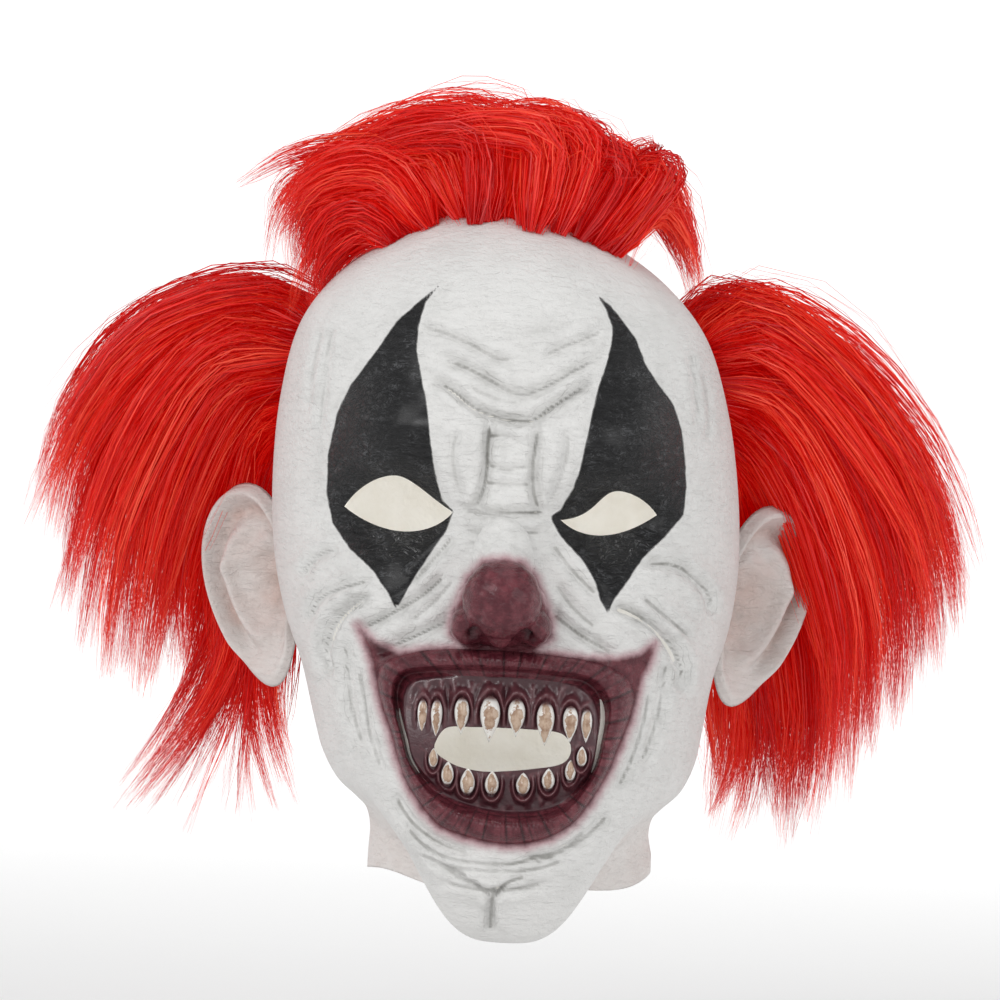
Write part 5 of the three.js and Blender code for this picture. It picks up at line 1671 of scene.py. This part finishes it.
@dataclass
class Tuft:
    """A tuft of hair: clumps of strands that follow its locks."""

    name: str
    head: HeadForm
    finishes: Finishes
    locks: tuple[Lock, ...]
    seed: int
    behind_ear: float | None = 52.0
    depth: float = 32.0
    drift: float = 2.0
    clumps: int = 100
    strands: int = 98
    strays: int = 80
    width: float = 0.52

    def root(self, flat: Array, rng: np.random.Generator) -> Array:
        """Return a root in space near a place seen from the front."""
        if self.behind_ear is not None:
            turn = math.copysign(math.radians(rng.uniform(100.0, 130.0)), float(flat[0]))
            t = self.head.height_share(turn, float(flat[1]))
            return self.head.point(np.array([turn]), np.array([t]))[0]
        t = self.head.height_share(0.0001, float(flat[1]))
        reach = self.head.point(np.array([math.pi / 2.0]), np.array([t]))[0, 0]
        turn = math.asin(min(max(float(flat[0]) / reach, -0.9), 0.9)) * 0.9
        return self.head.point(np.array([turn]), np.array([t * rng.uniform(0.3, 0.88)]))[0]

    def guides(self, place: float, rng: np.random.Generator) -> tuple[Array, float, float]:
        """Work out one clump at a share of the way through the locks.

        Args:
            place: Share of the way from the first lock to the last.
            rng: Source of chance.

        Returns:
            Guide points in millimetres, the half width and the share of hair.
        """
        place *= len(self.locks) - 1
        index = min(int(place), len(self.locks) - 2)
        f = place - index
        lock, other = self.locks[index], self.locks[index + 1]
        flat = (1.0 - f) * np.array(lock.path, float) + f * np.array(other.path, float)
        share = np.linspace(0.0, 1.0, len(flat))
        flat += np.outer(share, rng.normal(0.0, 4.5, 2))
        flat += np.outer(np.sin(math.pi * share), rng.normal(0.0, 3.5, 2))
        root = self.root(flat[0], rng)
        if self.behind_ear is None:
            y = root[1] + share * (self.drift + rng.uniform(-0.2, 0.5) * self.depth)
        else:
            clear = float(ease(np.abs(flat[2, 0]), 116.0, 134.0))
            aim_y = rng.uniform(self.behind_ear - self.depth * clear, self.behind_ear + 22.0)
            y = root[1] + (aim_y - root[1]) * ease(share, 0.0, 0.3) + self.drift * share
        points = self.head.view.behind(flat, y)
        blend = [(1.0 - f) * getattr(lock, name) + f * getattr(other, name) for name in ("thick", "share")]
        return points + np.outer(1.0 - share, root - points[0]), blend[0], blend[1]

    def build(self) -> bpy.types.Object:
        """Return the finished tuft."""
        rng = np.random.default_rng(self.seed)
        strands = Strands(rng)
        for i in range(self.clumps):
            guides, thick, share = self.guides((i + rng.uniform(0.0, 1.0)) / self.clumps, rng)
            tone = rng.uniform(0.15, 0.85)
            thick *= rng.uniform(0.6, 1.1)
            strands.clump(guides, thick, int(self.strands * share), self.width, tone, 1.3)
        for i in range(self.strays):
            guides, thick, _ = self.guides((i + rng.uniform(0.0, 1.0)) / self.strays, rng)
            strands.clump(guides, 1.4 * thick, 9, 0.4 * self.width, 0.6, 3.5)
        return strands.finish(self.name, self.finishes.fibre)


@dataclass
class Studio:
    """Camera, floor and lights."""

    view: FrontView
    lens: float = 198.0
    roll: float = 2.5
    floor_z: float = -0.36
    floor_reach: float = 4.0
    sweep: float = 1.6
    wall_high: float = 4.0

    def camera(self) -> None:
        """Add the camera at the photograph's angle."""
        lens = bpy.data.cameras.new("camera")
        lens.lens = self.lens
        lens.clip_end = 60.0
        camera = bpy.data.objects.new("camera", lens)
        turn = Matrix.Rotation(math.radians(90.0), 4, "X") @ Matrix.Rotation(math.radians(self.roll), 4, "Z")
        place = (self.view.aim_x * MM, -self.view.far * MM, self.view.aim_z * MM)
        camera.matrix_world = Matrix.Translation(place) @ turn
        bpy.context.scene.collection.objects.link(camera)
        bpy.context.scene.camera = camera

    def floor(self) -> None:
        """Add the floor, which sweeps up into a wall all round."""
        profile = [(1.0, 0.0), (self.floor_reach, 0.0)]
        for step in range(1, 9):
            angle = 0.5 * math.pi * step / 8
            out, up = math.sin(angle), 1.0 - math.cos(angle)
            profile.append((self.floor_reach + self.sweep * out, self.sweep * up))
        profile.append((self.floor_reach + self.sweep, self.wall_high))
        around = 64
        angle = np.linspace(0.0, 2.0 * math.pi, around, endpoint=False)
        rings = [np.stack([r * np.cos(angle), r * np.sin(angle), np.full(around, self.floor_z + z)], axis=1)
                 for r, z in profile]
        points = np.vstack(rings + [[[0.0, 0.0, self.floor_z]]]) / MM
        numbers = np.arange(around)
        following = (numbers + 1) % around
        middle = np.full(around, len(points) - 1)
        disc = np.stack([numbers, following, middle, middle], axis=1)
        floor = mesh_object("floor", points, np.vstack([grid_faces(len(rings), around)[:, ::-1], disc]))
        floor.data.materials.append(PaleStage().build())

    def lamp(self, name: str, place: tuple[float, float, float], size: float, power: float) -> None:
        """Add a soft square light that faces the mask.

        Args:
            name: Name of the light.
            place: Place in metres.
            size: Side of the light in metres.
            power: Power in watts.
        """
        light = bpy.data.lights.new(name, "AREA")
        light.size = size
        light.energy = power
        lamp = bpy.data.objects.new(name, light)
        lamp.location = place
        aim = Vector((0.0, 0.0, self.view.aim_z * MM)) - Vector(place)
        lamp.rotation_euler = aim.to_track_quat("-Z", "Y").to_euler()
        bpy.context.scene.collection.objects.link(lamp)

    def build(self) -> None:
        """Add all of it."""
        self.camera()
        self.floor()
        self.lamp("key_light", (-1.5, -1.8, 1.2), 1.2, 16.0)
        self.lamp("fill_light", (1.7, -1.6, 0.4), 1.4, 10.0)
        self.lamp("top_light", (0.0, -0.3, 2.2), 1.6, 9.0)
        self.lamp("spark_light", (-0.8, -2.1, 0.7), 0.3, 5.0)
        self.lamp("inner_light", (0.0, -0.05, -0.05), 0.06, 0.15)
        world = bpy.data.worlds.new("studio")
        world.use_nodes = True
        background = world.node_tree.nodes["Background"]
        background.inputs["Color"].default_value = (1.0, 1.0, 1.0, 1.0)
        background.inputs["Strength"].default_value = 0.3
        scene = bpy.context.scene
        scene.world = world
        scene.view_settings.view_transform = "Standard"
        scene.cycles.diffuse_bounces = 2
        scene.cycles.glossy_bounces = 1
        scene.cycles.debug_use_spatial_splits = True


def seat(piece: bpy.types.Object, slot: Slot, *nodes: str) -> None:
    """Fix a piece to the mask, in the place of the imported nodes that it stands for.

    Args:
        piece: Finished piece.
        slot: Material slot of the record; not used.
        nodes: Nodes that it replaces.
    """
    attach(piece, BODY)
    if nodes:
        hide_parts(*nodes)
    triangles = sum(len(face.vertices) - 2 for face in piece.data.polygons)
    LOG.info("%s: %d triangles", piece.name, triangles)


def main() -> None:
    """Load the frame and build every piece."""
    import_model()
    bpy.ops.object.select_all(action="DESELECT")
    head = HeadForm()
    finishes = Finishes()
    paint = Paint(head)
    Studio(head.view).build()
    seat(Skin(head, paint, finishes).build(), Slot.LATEX, "latex_skin")
    places = [ToothPlace.of_node(f"{row}_tooth_{i}") for row in ("upper", "lower") for i in range(1, 9)]
    seat(Mouth(head, paint, finishes, places).build(), Slot.LATEX)
    seat(Nose(head, paint, finishes).build(), Slot.LATEX)
    for side in (-1, 1):
        seat(Ear(head, paint, finishes, side).build(), Slot.LATEX)
    for place in places:
        seat(Tooth(place, finishes).build(), Slot.TEETH, place.node)
    crest = Tuft("crest_hair_strands", head, finishes, CREST_LOCKS, 31, None, 40.0, 28.0)
    seat(crest.build(), Slot.HAIR, "crest_hair")
    seat(Tuft("left_hair_strands", head, finishes, LEFT_LOCKS, 11).build(), Slot.HAIR, "left_hair")
    seat(Tuft("right_hair_strands", head, finishes, RIGHT_LOCKS, 23).build(), Slot.HAIR, "right_hair")
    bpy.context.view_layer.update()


if __name__ == "__main__":
    logging.basicConfig(level=logging.INFO)
    main()
